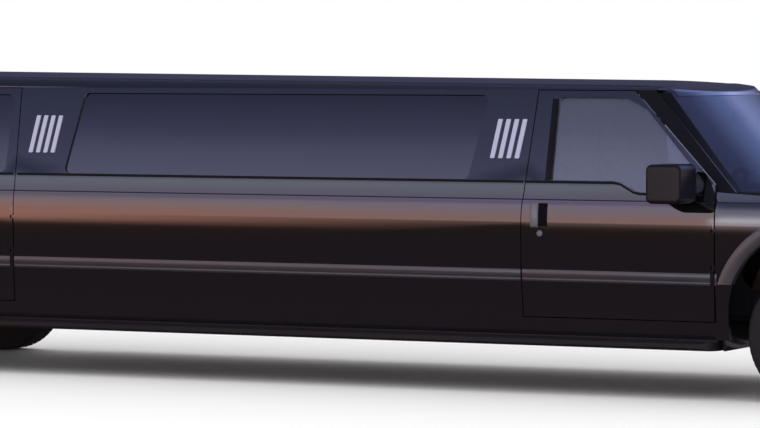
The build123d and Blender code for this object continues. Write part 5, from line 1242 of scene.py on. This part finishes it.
@dataclass
class SideTrim:
    """Mouldings, belt strips, wheel-arch flares, handles, window posts and the fuel door on the body's sides."""

    moulding_foot: float = 0.692
    moulding_tall: float = 0.072
    moulding_proud: float = 0.011
    belt_foot: float = 1.290
    belt_dip: float = 1.226
    belt_tall: float = 0.014
    belt_proud: float = 0.005
    arch_centre: float = 0.520
    arch_foot: float = 0.182
    arch_steps: int = 40
    lock_height: float = 0.985

    MOULDING: ClassVar[tuple[Point2, ...]] = (
        # share of the height, share of the stand: a bead along the foot, then a flat that fades upward
        (0.0, -0.3), (0.0, 0.55), (0.06, 0.95), (0.16, 1.0), (0.26, 0.92), (0.30, 0.62), (0.36, 0.62),
        (0.42, 0.80), (0.90, 0.52), (1.0, 0.18), (1.0, -0.3),
    )
    BELT: ClassVar[tuple[Point2, ...]] = (
        (0.0, -0.4), (0.0, 0.5), (0.3, 1.0), (0.7, 1.0), (1.0, 0.5), (1.0, -0.4),
    )
    FLARE: ClassVar[tuple[Point2, ...]] = (
        # radius from the arch's centre, half width
        (0.5165, 0.985), (0.5165, 1.0200), (0.5205, 1.0265), (0.5300, 1.0300), (0.5750, 1.0305), (0.6000, 1.0290),
        (0.6095, 1.0240), (0.6125, 1.0160), (0.6125, 0.985),
    )
    LOCK: ClassVar[tuple[Point2, ...]] = (
        # outward, radius
        (-0.002, 0.019), (0.004, 0.019), (0.006, 0.016), (0.003, 0.012), (0.004, 0.003),
    )

    def build(self) -> None:
        """Put the trim on both sides."""
        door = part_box("front_door_right")
        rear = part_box("rear_door_right")
        axle = {end: sum(corner.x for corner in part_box(f"tyre_{end.word}_right")) / 2 for end in End}
        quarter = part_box("rear_quarter_right")
        flare = self.FLARE[-1][0] + 0.004
        lengths = (
            # panel, body, rear end, front end
            ("fender", "body", door[1].x + 0.009, axle[End.FRONT] - flare * 0.95),
            ("front_door", "front_door_{side}", door[0].x + 0.004, door[1].x - 0.024),
            ("side_panel", "body", rear[1].x + 0.009, door[0].x - 0.006),
            ("rear_door", "rear_door_{side}", axle[End.REAR] + flare + 0.02, rear[1].x - 0.024),
            ("quarter", "body", quarter[0].x + 0.115, axle[End.REAR] - flare * 0.96),
        )
        for panel, body, x0, x1 in lengths:
            path = ((x0, self.moulding_foot), (x1, self.moulding_foot))
            pair(BodySide.strip(f"moulding_{panel}_right", path, self.MOULDING, self.moulding_tall,
                                self.moulding_proud, CLADDING), body, "black_trim")
        self.belts(door, rear, quarter)
        for end in End:
            pair(self.flare(f"arch_flare_{end.word}_right", axle[end]), "body", "black_trim")
        self.handles(door, rear)

    def belts(self, door: Sequence[Vector], rear: Sequence[Vector], quarter: Sequence[Vector]) -> None:
        """Run the rubber belt strip under the side glass.

        Args:
            door: Corners of the front door.
            rear: Corners of the rear door.
            quarter: Corners of the rear quarter.
        """
        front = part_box("front_door_glass_right")[1].x
        z, dip = self.belt_foot, self.belt_dip
        paths = (
            # panel, body, points from the rear
            ("side_panel", "body", ((rear[1].x + 0.009, z), (door[0].x - 0.006, z))),
            ("front_door", "front_door_{side}",
             ((door[0].x + 0.004, z), (front - 0.590, z), (front - 0.545, z - 0.006),
              (front - 0.450, dip + 0.008), (front - 0.405, dip), (front - 0.004, dip))),
            ("rear_door", "rear_door_{side}", ((rear[0].x + 0.004, z), (rear[1].x - 0.020, z))),
            ("quarter", "body", ((quarter[0].x + 0.115, z), (rear[0].x - 0.008, z))),
        )
        for panel, body, path in paths:
            pair(BodySide.strip(f"belt_strip_{panel}_right", path, self.BELT, self.belt_tall, self.belt_proud,
                                RUBBER_SEAL), body, "black_trim")

    def flare(self, name: str, x: float) -> bpy.types.Object:
        """Make a right side flare: a rounded lip round the arch with level ends.

        Args:
            name: The piece's name.
            x: The axle's station.

        Returns:
            The piece.
        """
        rings = []
        for i in range(self.arch_steps + 1):
            ring = []
            for radius, y in self.FLARE:
                start = math.asin(self.arch_foot / radius)
                a = start + (math.pi - 2 * start) * i / self.arch_steps
                ring.append((x + radius * math.cos(a), -y, self.arch_centre + radius * math.sin(a)))
            rings.append(ring)
        return shaped(name, CLADDING, skin, (rings,))

    def handles(self, door: Sequence[Vector], rear: Sequence[Vector]) -> None:
        """Put a flap handle with a near-black plate in its recess as painted shade, and a lock, on each door, window
        posts, and a fuel door on the left.

        Args:
            door: Corners of the front door.
            rear: Corners of the rear door.
        """
        for end, x in ((End.FRONT, door[0].x + 0.060), (End.REAR, rear[0].x + 0.235)):
            body = f"{end.word}_door_{{side}}"
            # The recess plate is near black and matt: painted shade in the handle's recess
            pair(BodySide.plate(f"handle_recess_{end.word}_right", (x + 0.052, x + 0.112), (1.028, 1.168), 0.0025,
                                RECESS_SHADE_BLACK), body, "black_trim")
            pair(BodySide.plate(f"handle_flap_{end.word}_right", (x, x + 0.050), (1.022, 1.172), 0.013,
                                HANDLE_LACQUER, 0.014), body, "bright_trim")
            lock = (x + 0.062, -BodySide.half_width(self.lock_height), self.lock_height)
            pair(shaped(f"handle_lock_{end.word}_right", HANDLE_LACQUER, disc, (lock, OUTWARD, self.LOCK, 24)),
                 body, "bright_trim")
        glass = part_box("front_door_glass_right")
        pair(BodySide.plate("window_post_front_right", (glass[0].x - 0.022, glass[0].x + 0.018), (1.306, 1.800),
                            0.0022, PILLAR_COAT, 0.004), "front_door_{side}", "black_trim")
        hatch = BodySide.plate("fuel_door", (-3.98, -3.80), (0.86, 1.03), 0.0016, PAINT, 0.004)
        seat(mirrored(hatch, "fuel_door_left"), "body", "body_paint")
        bpy.data.objects.remove(hatch)


@dataclass
class Wheel:
    """One wheel's treaded tyre, lug nuts, hub cap and brake disc."""

    end: End
    pitches: int = 62
    block_share: float = 0.78
    block_lean: float = 0.12
    tread_depth: float = 0.009
    nuts: int = 8
    nut_circle: float = 0.092
    nut_half: float = 0.0105

    WALL: ClassVar[tuple[Point2, ...]] = (
        # outward, radius, from the bead to the shoulder
        (0.119, 0.2052), (0.1255, 0.226), (0.1310, 0.254), (0.1325, 0.280), (0.1312, 0.296), (0.1296, 0.300),
        (0.1285, 0.304), (0.1292, 0.308), (0.1268, 0.338), (0.1225, 0.366), (0.1180, 0.383), (0.1080, 0.3925),
        (0.0900, 0.3935),
    )
    ROWS: ClassVar[tuple[tuple[float, float, float, float, float], ...]] = (
        # inner side, outer side, radius at each, share of a pitch that the row is shifted
        (-0.1185, -0.0960, 0.3845, 0.4005, 0.0), (-0.0880, -0.0600, 0.4018, 0.402, 0.5),
        (-0.0520, -0.0210, 0.402, 0.402, 0.0), (-0.0130, 0.0130, 0.402, 0.402, 0.5),
        (0.0210, 0.0520, 0.402, 0.402, 0.0), (0.0600, 0.0880, 0.402, 0.4018, 0.5),
        (0.0960, 0.1185, 0.4005, 0.3845, 0.0),
    )
    # Outward and radius of turned pieces
    CAP: ClassVar[tuple[Point2, ...]] = (
        (0.0, 0.061), (0.005, 0.061), (0.007, 0.058), (0.012, 0.056), (0.018, 0.048), (0.021, 0.034),
        (0.022, 0.016), (0.022, 0.004),
    )
    DISC: ClassVar[tuple[Point2, ...]] = (
        (-0.012, 0.076), (-0.012, 0.168), (-0.003, 0.168), (-0.003, 0.160), (0.003, 0.160), (0.003, 0.168),
        (0.012, 0.168), (0.012, 0.076),
    )

    def __post_init__(self) -> None:
        """Find the hub in the box of the right tyre."""
        low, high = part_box(f"tyre_{self.end.word}_right")
        self.x, self.y, self.z = (low + high) / 2

    def build(self, around: NodeTree) -> None:
        """Make the pieces of the right wheel and mirror them to the left.

        Args:
            around: Tree that repeats a shape around an axle.
        """
        body = f"wheel_{self.end.word}_{{side}}"
        pair(self.tyre(around), body, "tyre", f"tyre_{self.end.word}_{{side}}")
        pair(self.lug_nuts(around), body, "bright_trim")
        pair(self.hub_cap(), body, "bright_trim")
        pair(self.brake_disc(), body, "shaft_steel")

    def tyre(self, around: NodeTree) -> bpy.types.Object:
        """Make the carcass with its tread blocks.

        Args:
            around: Tree that repeats a shape around an axle.

        Returns:
            The right tyre.
        """
        bm = bmesh.new()
        rings = [*self.WALL, *[(-a, r) for a, r in reversed(self.WALL)]]
        disc(bm, (self.x, self.y, self.z), OUTWARD, rings, 96, hollow=True)
        blocks = around.make("tread", self.pitch(), TYRE_RUBBER, Count=self.pitches, Axle_X=self.x, Axle_Z=self.z)
        bm.from_mesh(blocks.data)
        bpy.data.objects.remove(blocks)
        return finished(f"tyre_tread_{self.end.word}_right", bm, TYRE_RUBBER)

    def pitch(self) -> bpy.types.Object:
        """Make one pitch of the tread at the top of the tyre.

        Returns:
            The blocks of one pitch.
        """
        turn = 2 * math.pi / self.pitches
        half = turn * self.block_share / 2
        blocks = []
        for y0, y1, r0, r1, shift in self.ROWS:
            lean = self.block_lean * turn * (1 if y0 + y1 > 0 else -1)
            loops = []
            for y, radius, skew in ((y0, r0, -lean), (y1, r1, lean)):
                foot = radius - self.tread_depth
                loop = []
                for a, r in ((-half, foot), (-half * 0.94, radius), (half * 0.94, radius), (half, foot)):
                    angle = a + shift * turn + skew
                    loop.append((self.x + r * math.sin(angle), self.y - y, self.z + r * math.cos(angle)))
                loops.append(loop)
            blocks.append((loops,))
        return shaped("pitch", TYRE_RUBBER, skin, *blocks)

    def lug_nuts(self, around: NodeTree) -> bpy.types.Object:
        """Make the ring of hexagon nuts.

        Args:
            around: Tree that repeats a shape around an axle.

        Returns:
            The right wheel's nuts.
        """
        profile = ((0.0, 0.0135), (0.003, 0.0135), (0.0032, self.nut_half), (0.016, self.nut_half), (0.020, 0.006))
        centre = (self.x, self.y - 0.045, self.z + self.nut_circle)
        nut = shaped("nut", CHROME, disc, (centre, OUTWARD, profile, 6))
        return around.make(f"lug_nuts_{self.end.word}_right", nut, CHROME,
                           Count=self.nuts, Axle_X=self.x, Axle_Z=self.z)

    def hub_cap(self) -> bpy.types.Object:
        """Make the domed cap over the hub, and the valve.

        Returns:
            The right wheel's cap.
        """
        bm = bmesh.new()
        disc(bm, (self.x, self.y - 0.0615, self.z), OUTWARD, self.CAP, 40)
        tube(bm, [(self.x + 0.152, self.y - 0.036, self.z + 0.1), (self.x + 0.148, self.y - 0.062, self.z + 0.097)],
             0.004)
        return finished(f"hub_cap_{self.end.word}_right", bm, CHROME)

    def brake_disc(self) -> bpy.types.Object:
        """Make the brake disc behind the rim's face."""
        return shaped(f"brake_disc_{self.end.word}_right", CAST_IRON, disc,
                      ((self.x, self.y + 0.030, self.z), OUTWARD, self.DISC, 48, True))


@dataclass
class Lamps:
    """Bowls, bulbs and amber lenses in the head lamps, and clear lenses in the tail lamps."""

    # Name, distance from the middle and scale of the bowls
    BOWLS: ClassVar[tuple[tuple[str, float, float], ...]] = (("inner", 0.575, 1.0), ("outer", 0.700, 0.9))
    BOWL: ClassVar[tuple[Point2, ...]] = (
        # ahead, radius: the bowl's back and rim, its inside, and the bulb
        (0.0, 0.020), (0.004, 0.045), (0.014, 0.070), (0.034, 0.066), (0.034, 0.062), (0.018, 0.056),
        (0.010, 0.036), (0.008, 0.012), (0.030, 0.011), (0.033, 0.004),
    )

    def build(self) -> None:
        """Fit both ends."""
        low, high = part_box("head_lamps")
        for name, y, scale in self.BOWLS:
            centre = (low.x + 0.003, -y, (low.z + high.z) / 2)
            profile = [(ahead, radius * scale) for ahead, radius in self.BOWL]
            pair(shaped(f"head_lamp_bowl_{name}_right", MIRROR_SILVER, disc, (centre, AHEAD, profile)),
                 "body", "bright_trim")
        pair(shaped("signal_lens_right", AMBER_LENS, rounded_block,
                    ((low.x + 0.003, low.y + 0.010, low.z + 0.02), (low.x + 0.022, low.y + 0.075, high.z - 0.02),
                     0.008)), "body", "lamp_clear")
        low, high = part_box("tail_lamps")
        pair(shaped("reverse_lens_right", CLEAR_LENS, rounded_block,
                    ((low.x - 0.003, low.y + 0.006, 0.975), (low.x + 0.004, low.y + 0.068, 1.040), 0.004)),
             "body", "lamp_clear")


@dataclass
class LiftgateHandle:
    """Pull bar over a shallow cup on the liftgate, whose near-black block is painted shade."""

    half: float = 0.13
    foot: float = 0.985
    head: float = 1.045

    def build(self) -> None:
        """Fit the cup, painted near black as shade, and the bar."""
        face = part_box("liftgate")[0].x
        # The cup is a near-black block: painted shade in the pull's hollow
        seat(shaped("liftgate_handle_cup", RECESS_SHADE_BLACK, rounded_block,
                    ((face - 0.006, -self.half, self.foot), (face + 0.002, self.half, self.head), 0.002)),
             "liftgate", "black_trim")
        seat(shaped("liftgate_handle", BLACK_PLASTIC, rounded_block,
                    ((face - 0.020, -self.half + 0.012, self.head - 0.030),
                     (face - 0.004, self.half - 0.012, self.head - 0.004), 0.005)),
             "liftgate", "black_trim")


@dataclass
class NoseAndBoards:
    """Grille insert, cowl vent, windshield seals, roof header, wipers, mirror glass and running-board ribs."""

    wire: float = 0.0035
    wires: int = 74
    slats: int = 105
    slat_pitch: float = 0.015
    wiper_pivots: Point2 = (0.30, -0.36)
    rib_pitch: float = 0.026
    rake: float = 0.95
    cowl_top: float = 1.250
    belt: float = 1.3
    header: float = 1.838
    bow: float = 2.805
    header_rear: float = 2.425
    header_half: float = 0.80

    ROOF_NOSE: ClassVar[tuple[Point2, ...]] = (
        # station, height of the roof's nose
        (2.388, 1.880), (2.447, 1.870), (2.500, 1.860), (2.592, 1.840), (2.640, 1.829),
    )

    def build(self, row: NodeTree) -> None:
        """Fit the pieces.

        Args:
            row: Tree that repeats a shape along a row.
        """
        self.grille(row)
        self.cowl(row)
        self.seals()
        self.header_panel()
        for y in self.wiper_pivots:
            self.wiper(y)
        self.mirror()
        self.boards(row)

    def grille(self, row: NodeTree) -> None:
        """Stand upright wires behind the grille's bars, on a dark plate.

        Args:
            row: Tree that repeats a shape along a row.
        """
        low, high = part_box("grille")
        wire = cuboid("wire", BLACK_PLASTIC, (low.x + 0.009, low.y + 0.045, (low.z + high.z) / 2),
                      (0.006, self.wire, high.z - low.z - 0.076))
        step = (high.y - low.y - 0.09) / (self.wires - 1)
        seat(row.make("grille_wires", wire, BLACK_PLASTIC, Count=self.wires, Step_X=0.0, Step_Y=step),
             "body", "black_trim")
        seat(shaped("grille_back", RUBBER_SEAL, rounded_block,
                    ((low.x + 0.001, low.y + 0.038, low.z + 0.038), (low.x + 0.004, high.y - 0.038, high.z - 0.038),
                     0.001, 1)), "body", "black_trim")

    def cowl(self, row: NodeTree) -> None:
        """Lay the slats of the air intake before the windshield.

        Args:
            row: Tree that repeats a shape along a row.
        """
        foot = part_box("windshield")[1].x
        slat = cuboid("slat", BLACK_PLASTIC, (foot + 0.030, -0.78, 1.2515), (0.040, 0.005, 0.003))
        seat(row.make("cowl_slats", slat, BLACK_PLASTIC, Count=self.slats, Step_X=0.0, Step_Y=self.slat_pitch),
             "body", "black_trim")

    def screen(self, y: float, z: float) -> float:
        """Station of the windshield's outer face at a width and a height."""
        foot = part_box("windshield")[1].x
        return foot - self.bow + math.sqrt(self.bow ** 2 - y ** 2) - self.rake * (z - self.cowl_top)

    def roof_nose(self, x: float) -> float:
        """Height of the roof's nose at a station.

        Args:
            x: The station.

        Returns:
            The height.
        """
        for (x0, z0), (x1, z1) in zip(self.ROOF_NOSE, self.ROOF_NOSE[1:]):
            if x <= x1:
                break
        return z0 + (z1 - z0) * (x - x0) / (x1 - x0)

    def seals(self) -> None:
        """Run a rubber seal up each edge of the windshield, across to its pillar."""
        rings = []
        for i in range(25):
            z = self.cowl_top + 0.002 + (self.header - self.cowl_top) * i / 24
            edge = min(0.905, 0.912 - 0.149 * (z - self.cowl_top) / (self.header - self.cowl_top))
            post = (0.921 - 0.011 * (z - 1.186) / 0.114 if z < self.belt else
                    0.910 - 0.138 * (z - self.belt) / 0.556)
            face, lip = self.screen(0.905, z), self.screen(edge - 0.014, z)
            rings.append([(lip + 0.003, 0.014 - edge, z), (self.screen(edge, z) + 0.004, -0.003 - edge, z),
                          (face + 0.003, -0.036 - post, z), (face - 0.0005, -0.036 - post, z),
                          (face - 0.010, 0.004 - post, z), (lip - 0.014, 0.014 - edge, z)])
        pair(shaped("windshield_seal_right", RUBBER_SEAL, skin, (rings,)), "body", "black_trim")

    def header_panel(self) -> None:
        """Close the head of the windshield to the roof's nose with a painted panel."""
        rings = []
        rear, rear_top = self.header_rear, self.roof_nose(self.header_rear)
        low = self.header - 0.018
        for i in range(41):
            y = self.header_half * (i / 20 - 1)
            top = self.screen(y, self.header)
            # Up the windshield's slope until it meets the roof
            x, z = top, self.header
            while z < self.roof_nose(x) and z < 1.88:
                x, z = x - self.rake * 0.0005, z + 0.0005
            middle = (x + rear) / 2
            crown = self.roof_nose(middle)
            # The ends sink under the roof's corners
            sink = 0.024 * max(0.0, (abs(y) - 0.735) / 0.065)
            outer = [(self.screen(y, low) + 0.003, low), (top + 0.003, self.header + 0.001), (x + 0.002, z + 0.002),
                     (middle, crown + 0.002), (rear, rear_top + 0.0015)]
            inner = [(rear, rear_top - 0.004), (middle, crown - 0.012), (x - 0.014, z - 0.010),
                     (self.screen(y, low) - 0.012, low)]
            rings.append([(px - sink * (k < 3), y, pz - sink) for k, (px, pz) in enumerate(outer)]
                         + [(px - sink, y, pz - sink) for px, pz in inner])
        seat(shaped("roof_header", PAINT, skin, (rings,)), "body", "body_paint")

    def wiper(self, y: float) -> None:
        """Lay a wiper along the foot of the windshield.

        Args:
            y: Station of its pivot.
        """
        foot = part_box("windshield")[1].x

        def on_glass(at: float, z: float, off: float) -> Point3:
            """Point off the glass, at a way from the pivot."""
            return (self.screen(y + at, z) + off * 0.72, y + at, z + off * 0.69)

        bm = bmesh.new()
        disc(bm, (foot + 0.012, y, 1.249), UPWARD, ((0.0, 0.017), (0.014, 0.016), (0.018, 0.010)), 20)
        tube(bm, [(foot + 0.012, y, 1.262), on_glass(0.06, 1.280, 0.020), on_glass(0.30, 1.300, 0.020)], 0.0055)
        for end, middle, radius in ((0.012, 0.016, 0.0045), (0.004, 0.004, 0.003)):
            tube(bm, [on_glass(0.02, 1.300, end), on_glass(0.30, 1.306, middle), on_glass(0.56, 1.300, end)], radius)
        seat(finished(f"wiper_{'left' if y > 0 else 'right'}", bm, BLACK_PLASTIC), "body", "black_trim")

    def mirror(self) -> None:
        """Set the glass in each door mirror, and a boot at its foot."""
        low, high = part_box("door_mirror_right")
        pair(shaped("mirror_glass_right", MIRROR_SILVER, rounded_block,
                    ((low.x - 0.0025, low.y + 0.026, low.z + 0.022), (low.x + 0.004, -1.062, high.z - 0.022),
                     0.020, 4)), "front_door_{side}", "bright_trim")
        pair(shaped("mirror_boot_right", RUBBER_SEAL, rounded_block,
                    ((low.x + 0.125, -1.062, 1.190), (low.x + 0.208, -1.030, 1.238), 0.012)),
             "front_door_{side}", "black_trim")

    def boards(self, row: NodeTree) -> None:
        """Lay cross ribs on the running boards' steps.

        Args:
            row: Tree that repeats a shape along a row.
        """
        low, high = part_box("running_boards")
        start, end = low.x + 0.12, high.x - 0.12
        count = int((end - start) / self.rib_pitch)
        rib = shaped("rib", BLACK_PLASTIC, rounded_block,
                     ((start, -1.014, high.z - 0.013), (start + 0.012, -0.970, high.z - 0.0085), 0.0015, 1))
        pair(row.make("board_ribs_right", rib, BLACK_PLASTIC, Count=count, Step_X=self.rib_pitch),
             "body", "black_trim")


@dataclass
class Pad:
    """A stuffed leather pad: cloth pressure crowns a rounded block, and piping runs round its widest line."""

    size: Point3
    voxel: float = 0.015
    margin: float = 0.012
    cap: float = 0.026
    frames: int = 20
    pressure: float = 4.0
    cord: float = 0.0042
    cord_points: int = 72

    SEWN: ClassVar[dict[Point3, bpy.types.Mesh]] = {}

    def mesh(self) -> bpy.types.Mesh:
        """The swollen pad at the origin, simulated once for each size."""
        if self.size not in self.SEWN:
            self.SEWN[self.size] = self.swell()
        return self.SEWN[self.size]

    def swell(self) -> bpy.types.Mesh:
        """Blow a remeshed block up with cloth pressure, with a limit on each point's way.
        """
        half = [s / 2 - self.margin for s in self.size]
        block = shaped("pad_block", BLACK_LEATHER, rounded_block, (tuple(-h for h in half), tuple(half), 0.03))
        remesh = block.modifiers.new("voxels", "REMESH")
        remesh.mode = "VOXEL"
        remesh.voxel_size = self.voxel
        remesh.use_smooth_shade = True
        graph = bpy.context.evaluated_depsgraph_get()
        plain = bpy.data.meshes.new_from_object(block.evaluated_get(graph))
        bpy.data.objects.remove(block)
        soft = linked("pad_cloth", plain)
        cloth = soft.modifiers.new("pressure", "CLOTH")
        cloth.settings.use_pressure = True
        cloth.settings.uniform_pressure_force = self.pressure
        cloth.settings.effector_weights.gravity = 0.0
        cloth.point_cache.frame_start = 1
        cloth.point_cache.frame_end = self.frames
        for frame in range(1, self.frames + 1):
            bpy.context.scene.frame_set(frame)
        graph = bpy.context.evaluated_depsgraph_get()
        blown = bpy.data.meshes.new_from_object(soft.evaluated_get(graph))
        for before, after in zip(plain.vertices, blown.vertices):
            way = after.co - before.co
            if way.length > self.cap:
                after.co = before.co + way * (self.cap / way.length)
        bpy.data.objects.remove(soft)
        bpy.context.scene.frame_set(1)
        return blown

    def place(self, name: str, centre: Point3, lean: float = 0.0) -> bpy.types.Object:
        """Make a pad at a place.

        Args:
            name: The piece's name.
            centre: Its middle.
            lean: Turn about Y, in radians.

        Returns:
            The pad, with its piping in the second finish.
        """
        bm = bmesh.new()
        bm.from_mesh(self.mesh())
        for face in bm.faces:
            face.smooth = True
            face.material_index = 0
        self.piping(bm)
        bmesh.ops.transform(bm, matrix=Matrix.Translation(centre) @ Matrix.Rotation(lean, 4, "Y"), verts=bm.verts)
        mesh = mesh_of(name, bm)
        for finish in (BLACK_LEATHER, PIPING):
            mesh.materials.append(finish.material())
        made = linked(name, mesh)
        return made

    def piping(self, bm: bmesh.types.BMesh) -> None:
        """Lay a cord along the pad's widest line, round its thinnest axis.

        Args:
            bm: The pad's mesh.
        """
        thin = min(range(3), key=lambda i: self.size[i])
        u, v = [i for i in range(3) if i != thin]
        count = self.cord_points
        widest: list[Vector | None] = [None] * count
        for vert in bm.verts:
            a = math.atan2(vert.co[v] / self.size[v], vert.co[u] / self.size[u])
            i = int((a / (2 * math.pi) + 0.5) * count) % count
            if widest[i] is None or math.hypot(vert.co[u], vert.co[v]) > math.hypot(widest[i][u], widest[i][v]):
                widest[i] = vert.co.copy()
        path = []
        for point in widest:
            if point is not None:
                point[thin] *= 0.2
                path.append(tuple(point))
        first = len(bm.faces)
        tube(bm, path + path[:1], self.cord, 6)
        bm.faces.ensure_lookup_table()
        for face in bm.faces[first:]:
            face.material_index = 1
            face.smooth = True


@dataclass
class Cabin:
    """Seats, carpet, dashboard fittings, inner mirror, door cards and the things on the bar."""

    deck: float = 0.670
    carpet: float = 0.006
    lounge_pads: int = 6
    bench_pads: int = 3
    pad_gap: float = 0.006
    mirror_height: float = 1.70

    DECANTER: ClassVar[tuple[Point2, ...]] = (
        # upward, radius
        (0.0, 0.050), (0.11, 0.055), (0.15, 0.030), (0.165, 0.016), (0.20, 0.016), (0.205, 0.024), (0.235, 0.020),
        (0.245, 0.006),
    )
    TUMBLER: ClassVar[tuple[Point2, ...]] = (
        # upward, radius
        (0.0, 0.034), (0.002, 0.036), (0.09, 0.040), (0.09, 0.037), (0.012, 0.032), (0.011, 0.003),
    )

    def build(self) -> None:
        """Fit out both compartments."""
        self.floor()
        self.front_seats()
        self.lounge()
        self.bench()
        self.dash()
        self.door_cards()
        self.pillar_trim()
        self.bar()

    def floor(self) -> None:
        """Lay the carpet."""
        low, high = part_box("floor_pan")
        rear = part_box("rear_door_right")[0].x + 0.35
        seat(shaped("cabin_carpet", CARPET, rounded_block,
                    ((rear, low.y + 0.02, self.deck), (high.x - 0.05, high.y - 0.02, self.deck + self.carpet),
                     0.003, 1)), "body", "floor_steel")

    def front_seats(self) -> None:
        """Two bucket seats: plinth, cushion, leaning back and headrest."""
        low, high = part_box("front_seats")
        lean = -math.atan2(0.140, 0.570)
        for side in Side:
            y = side.value * 0.420
            name = f"front_seat_{side.word}"
            plinth = ((low.x + 0.19, y - 0.22, self.deck + self.carpet), (high.x - 0.04, y + 0.22, 0.875), 0.02)
            seat(shaped(f"{name}_plinth", BLACK_PLASTIC, rounded_block, plinth), "body", "dash_plastic", "front_seats")
            pads = (
                # part, size, middle, lean
                ("cushion", (0.545, 0.530, 0.160), (high.x - 0.280, y, 0.955), 0.0),
                ("back", (0.095, 0.530, 0.430), (high.x - 0.590, y, 1.225), lean),
                ("headrest", (0.080, 0.280, 0.150), (high.x - 0.664, y, 1.520), lean),
            )
            for part, size, middle, turn in pads:
                seat(Pad(size).place(f"{name}_{part}", middle, turn), "body", "seat_leather", "front_seats")

    def lounge(self) -> None:
        """The long side lounge behind the left windows."""
        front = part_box("lounge_seats")[1].x
        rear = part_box("rear_door_right")[1].x + 0.064
        y0, y1 = 0.271, 0.831
        plinth = ((rear, y0 + 0.02, self.deck + self.carpet), (front, y1, 0.895), 0.015)
        seat(shaped("lounge_plinth", BLACK_LEATHER, rounded_block, plinth), "body", "seat_leather", "lounge_seats")
        step = (front - rear) / self.lounge_pads
        long = round(step - self.pad_gap, 4)
        for i in range(self.lounge_pads):
            x = rear + step * (i + 0.5)
            for part, size, middle in (("cushion", (long, 0.430, 0.170), (x, y0 + 0.215, 0.978)),
                                       ("back", (long, 0.140, 0.420), (x, y1 - 0.072, 1.150))):
                seat(Pad(size).place(f"lounge_{part}_{i + 1}", middle), "body", "seat_leather", "lounge_seats")

    def bench(self) -> None:
        """The bench across the tail."""
        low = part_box("lounge_seats")[0]
        plinth = ((low.x, low.y, self.deck + self.carpet), (low.x + 0.54, -low.y, 0.895), 0.015)
        seat(shaped("bench_plinth", BLACK_LEATHER, rounded_block, plinth), "body", "seat_leather", "lounge_seats")
        step = -2 * low.y / self.bench_pads
        wide = round(step - self.pad_gap, 4)
        for i in range(self.bench_pads):
            y = low.y + step * (i + 0.5)
            for part, size, middle in (("cushion", (0.430, wide, 0.170), (low.x + 0.345, y, 0.978)),
                                       ("back", (0.140, wide, 0.600), (low.x + 0.072, y, 1.240))):
                seat(Pad(size).place(f"bench_{part}_{i + 1}", middle), "body", "seat_leather", "lounge_seats")

    def dash(self) -> None:
        """Instrument hood, vents, centre panel and the inner mirror."""
        low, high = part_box("dashboard")
        vents = [((low.x - 0.003, y - 0.06, high.z - 0.10), (low.x + 0.02, y + 0.06, high.z - 0.05), 0.006)
                 for y in (-0.72, -0.24, 0.24, 0.72)]
        seat(shaped("dash_fittings", BLACK_PLASTIC, rounded_block,
                    ((low.x + 0.05, 0.26, high.z - 0.03), (low.x + 0.21, 0.58, high.z + 0.035), 0.025),
                    ((low.x - 0.004, -0.15, low.z + 0.02), (low.x + 0.06, 0.15, high.z - 0.06), 0.02), *vents),
             "body", "dash_plastic")
        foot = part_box("windshield")[1].x
        x = foot - NoseAndBoards.rake * (self.mirror_height - NoseAndBoards.cowl_top)
        bm = bmesh.new()
        rounded_block(bm, (x - 0.085, -0.13, 1.655), (x - 0.060, 0.13, 1.725), 0.010)
        tube(bm, [(x - 0.07, 0.0, self.mirror_height), (x - 0.045, 0.0, 1.720)], 0.008)
        seat(finished("inner_mirror", bm, BLACK_PLASTIC), "body", "dash_plastic")

    def door_cards(self) -> None:
        """Inner panels of the four doors, each with an armrest."""
        for end in End:
            low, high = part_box(f"{end.word}_door_right")
            x0, x1 = (low.x + 0.10, high.x - 0.42) if end is End.FRONT else (low.x + 0.47, high.x - 0.10)
            pair(shaped(f"door_card_{end.word}_right", BLACK_LEATHER, rounded_block,
                        ((x0, -0.924, 0.62), (x1, -0.912, 1.20), 0.006),
                        ((x0 + 0.06, -0.915, 0.93), (x1 - 0.06, -0.868, 0.99), 0.02)),
                 f"{end.word}_door_{{side}}", "seat_leather")

    def pillar_trim(self) -> None:
        """Cover the pillars behind the front doors and ahead of the rear doors on the inside."""
        for end, x in ((End.FRONT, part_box("front_door_right")[0].x), (End.REAR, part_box("rear_door_right")[1].x)):
            rings = [[(x - 0.07, -y, z), (x + 0.07, -y, z), (x + 0.055, 0.012 - y, z), (x - 0.055, 0.012 - y, z)]
                     for z, y in ((0.70, 0.905), (1.186, 0.905), (1.30, 0.894), (1.84, 0.760))]
            pair(shaped(f"pillar_trim_{end.word}_right", BLACK_PLASTIC, skin, (rings,)), "body", "dash_plastic")

    def bar(self) -> None:
        """Decanters and tumblers on the bar."""
        low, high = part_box("bar_cabinet")
        y = (low.y + high.y) / 2
        for i, x in enumerate((low.x + 0.30, low.x + 0.48, high.x - 0.42)):
            seat(shaped(f"decanter_{i + 1}", CLEAR_LENS, disc, ((x, y, high.z), UPWARD, self.DECANTER, 24)),
                 "body", "lamp_clear")
        places = [(low.x + 0.80 + 0.12 * i, y + 0.03 * (-1) ** i, high.z) for i in range(6)]
        seat(shaped("tumblers", CLEAR_LENS, disc, *((place, UPWARD, self.TUMBLER, 24) for place in places)),
             "body", "lamp_clear")


def main() -> None:
    """Build the stage and the vehicle's looks."""
    logging.basicConfig(level=logging.INFO, format="%(message)s")
    bpy.context.scene.view_settings.view_transform = "Standard"
    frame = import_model()
    Studio().build()
    Shell().dress(frame["nodes"])
    row, around = row_tree(), wheel_tree()
    SideTrim().build()
    for end in End:
        Wheel(end).build(around)
    Lamps().build()
    LiftgateHandle().build()
    NoseAndBoards().build(row)
    Cabin().build()


if __name__ == "__main__":
    main()
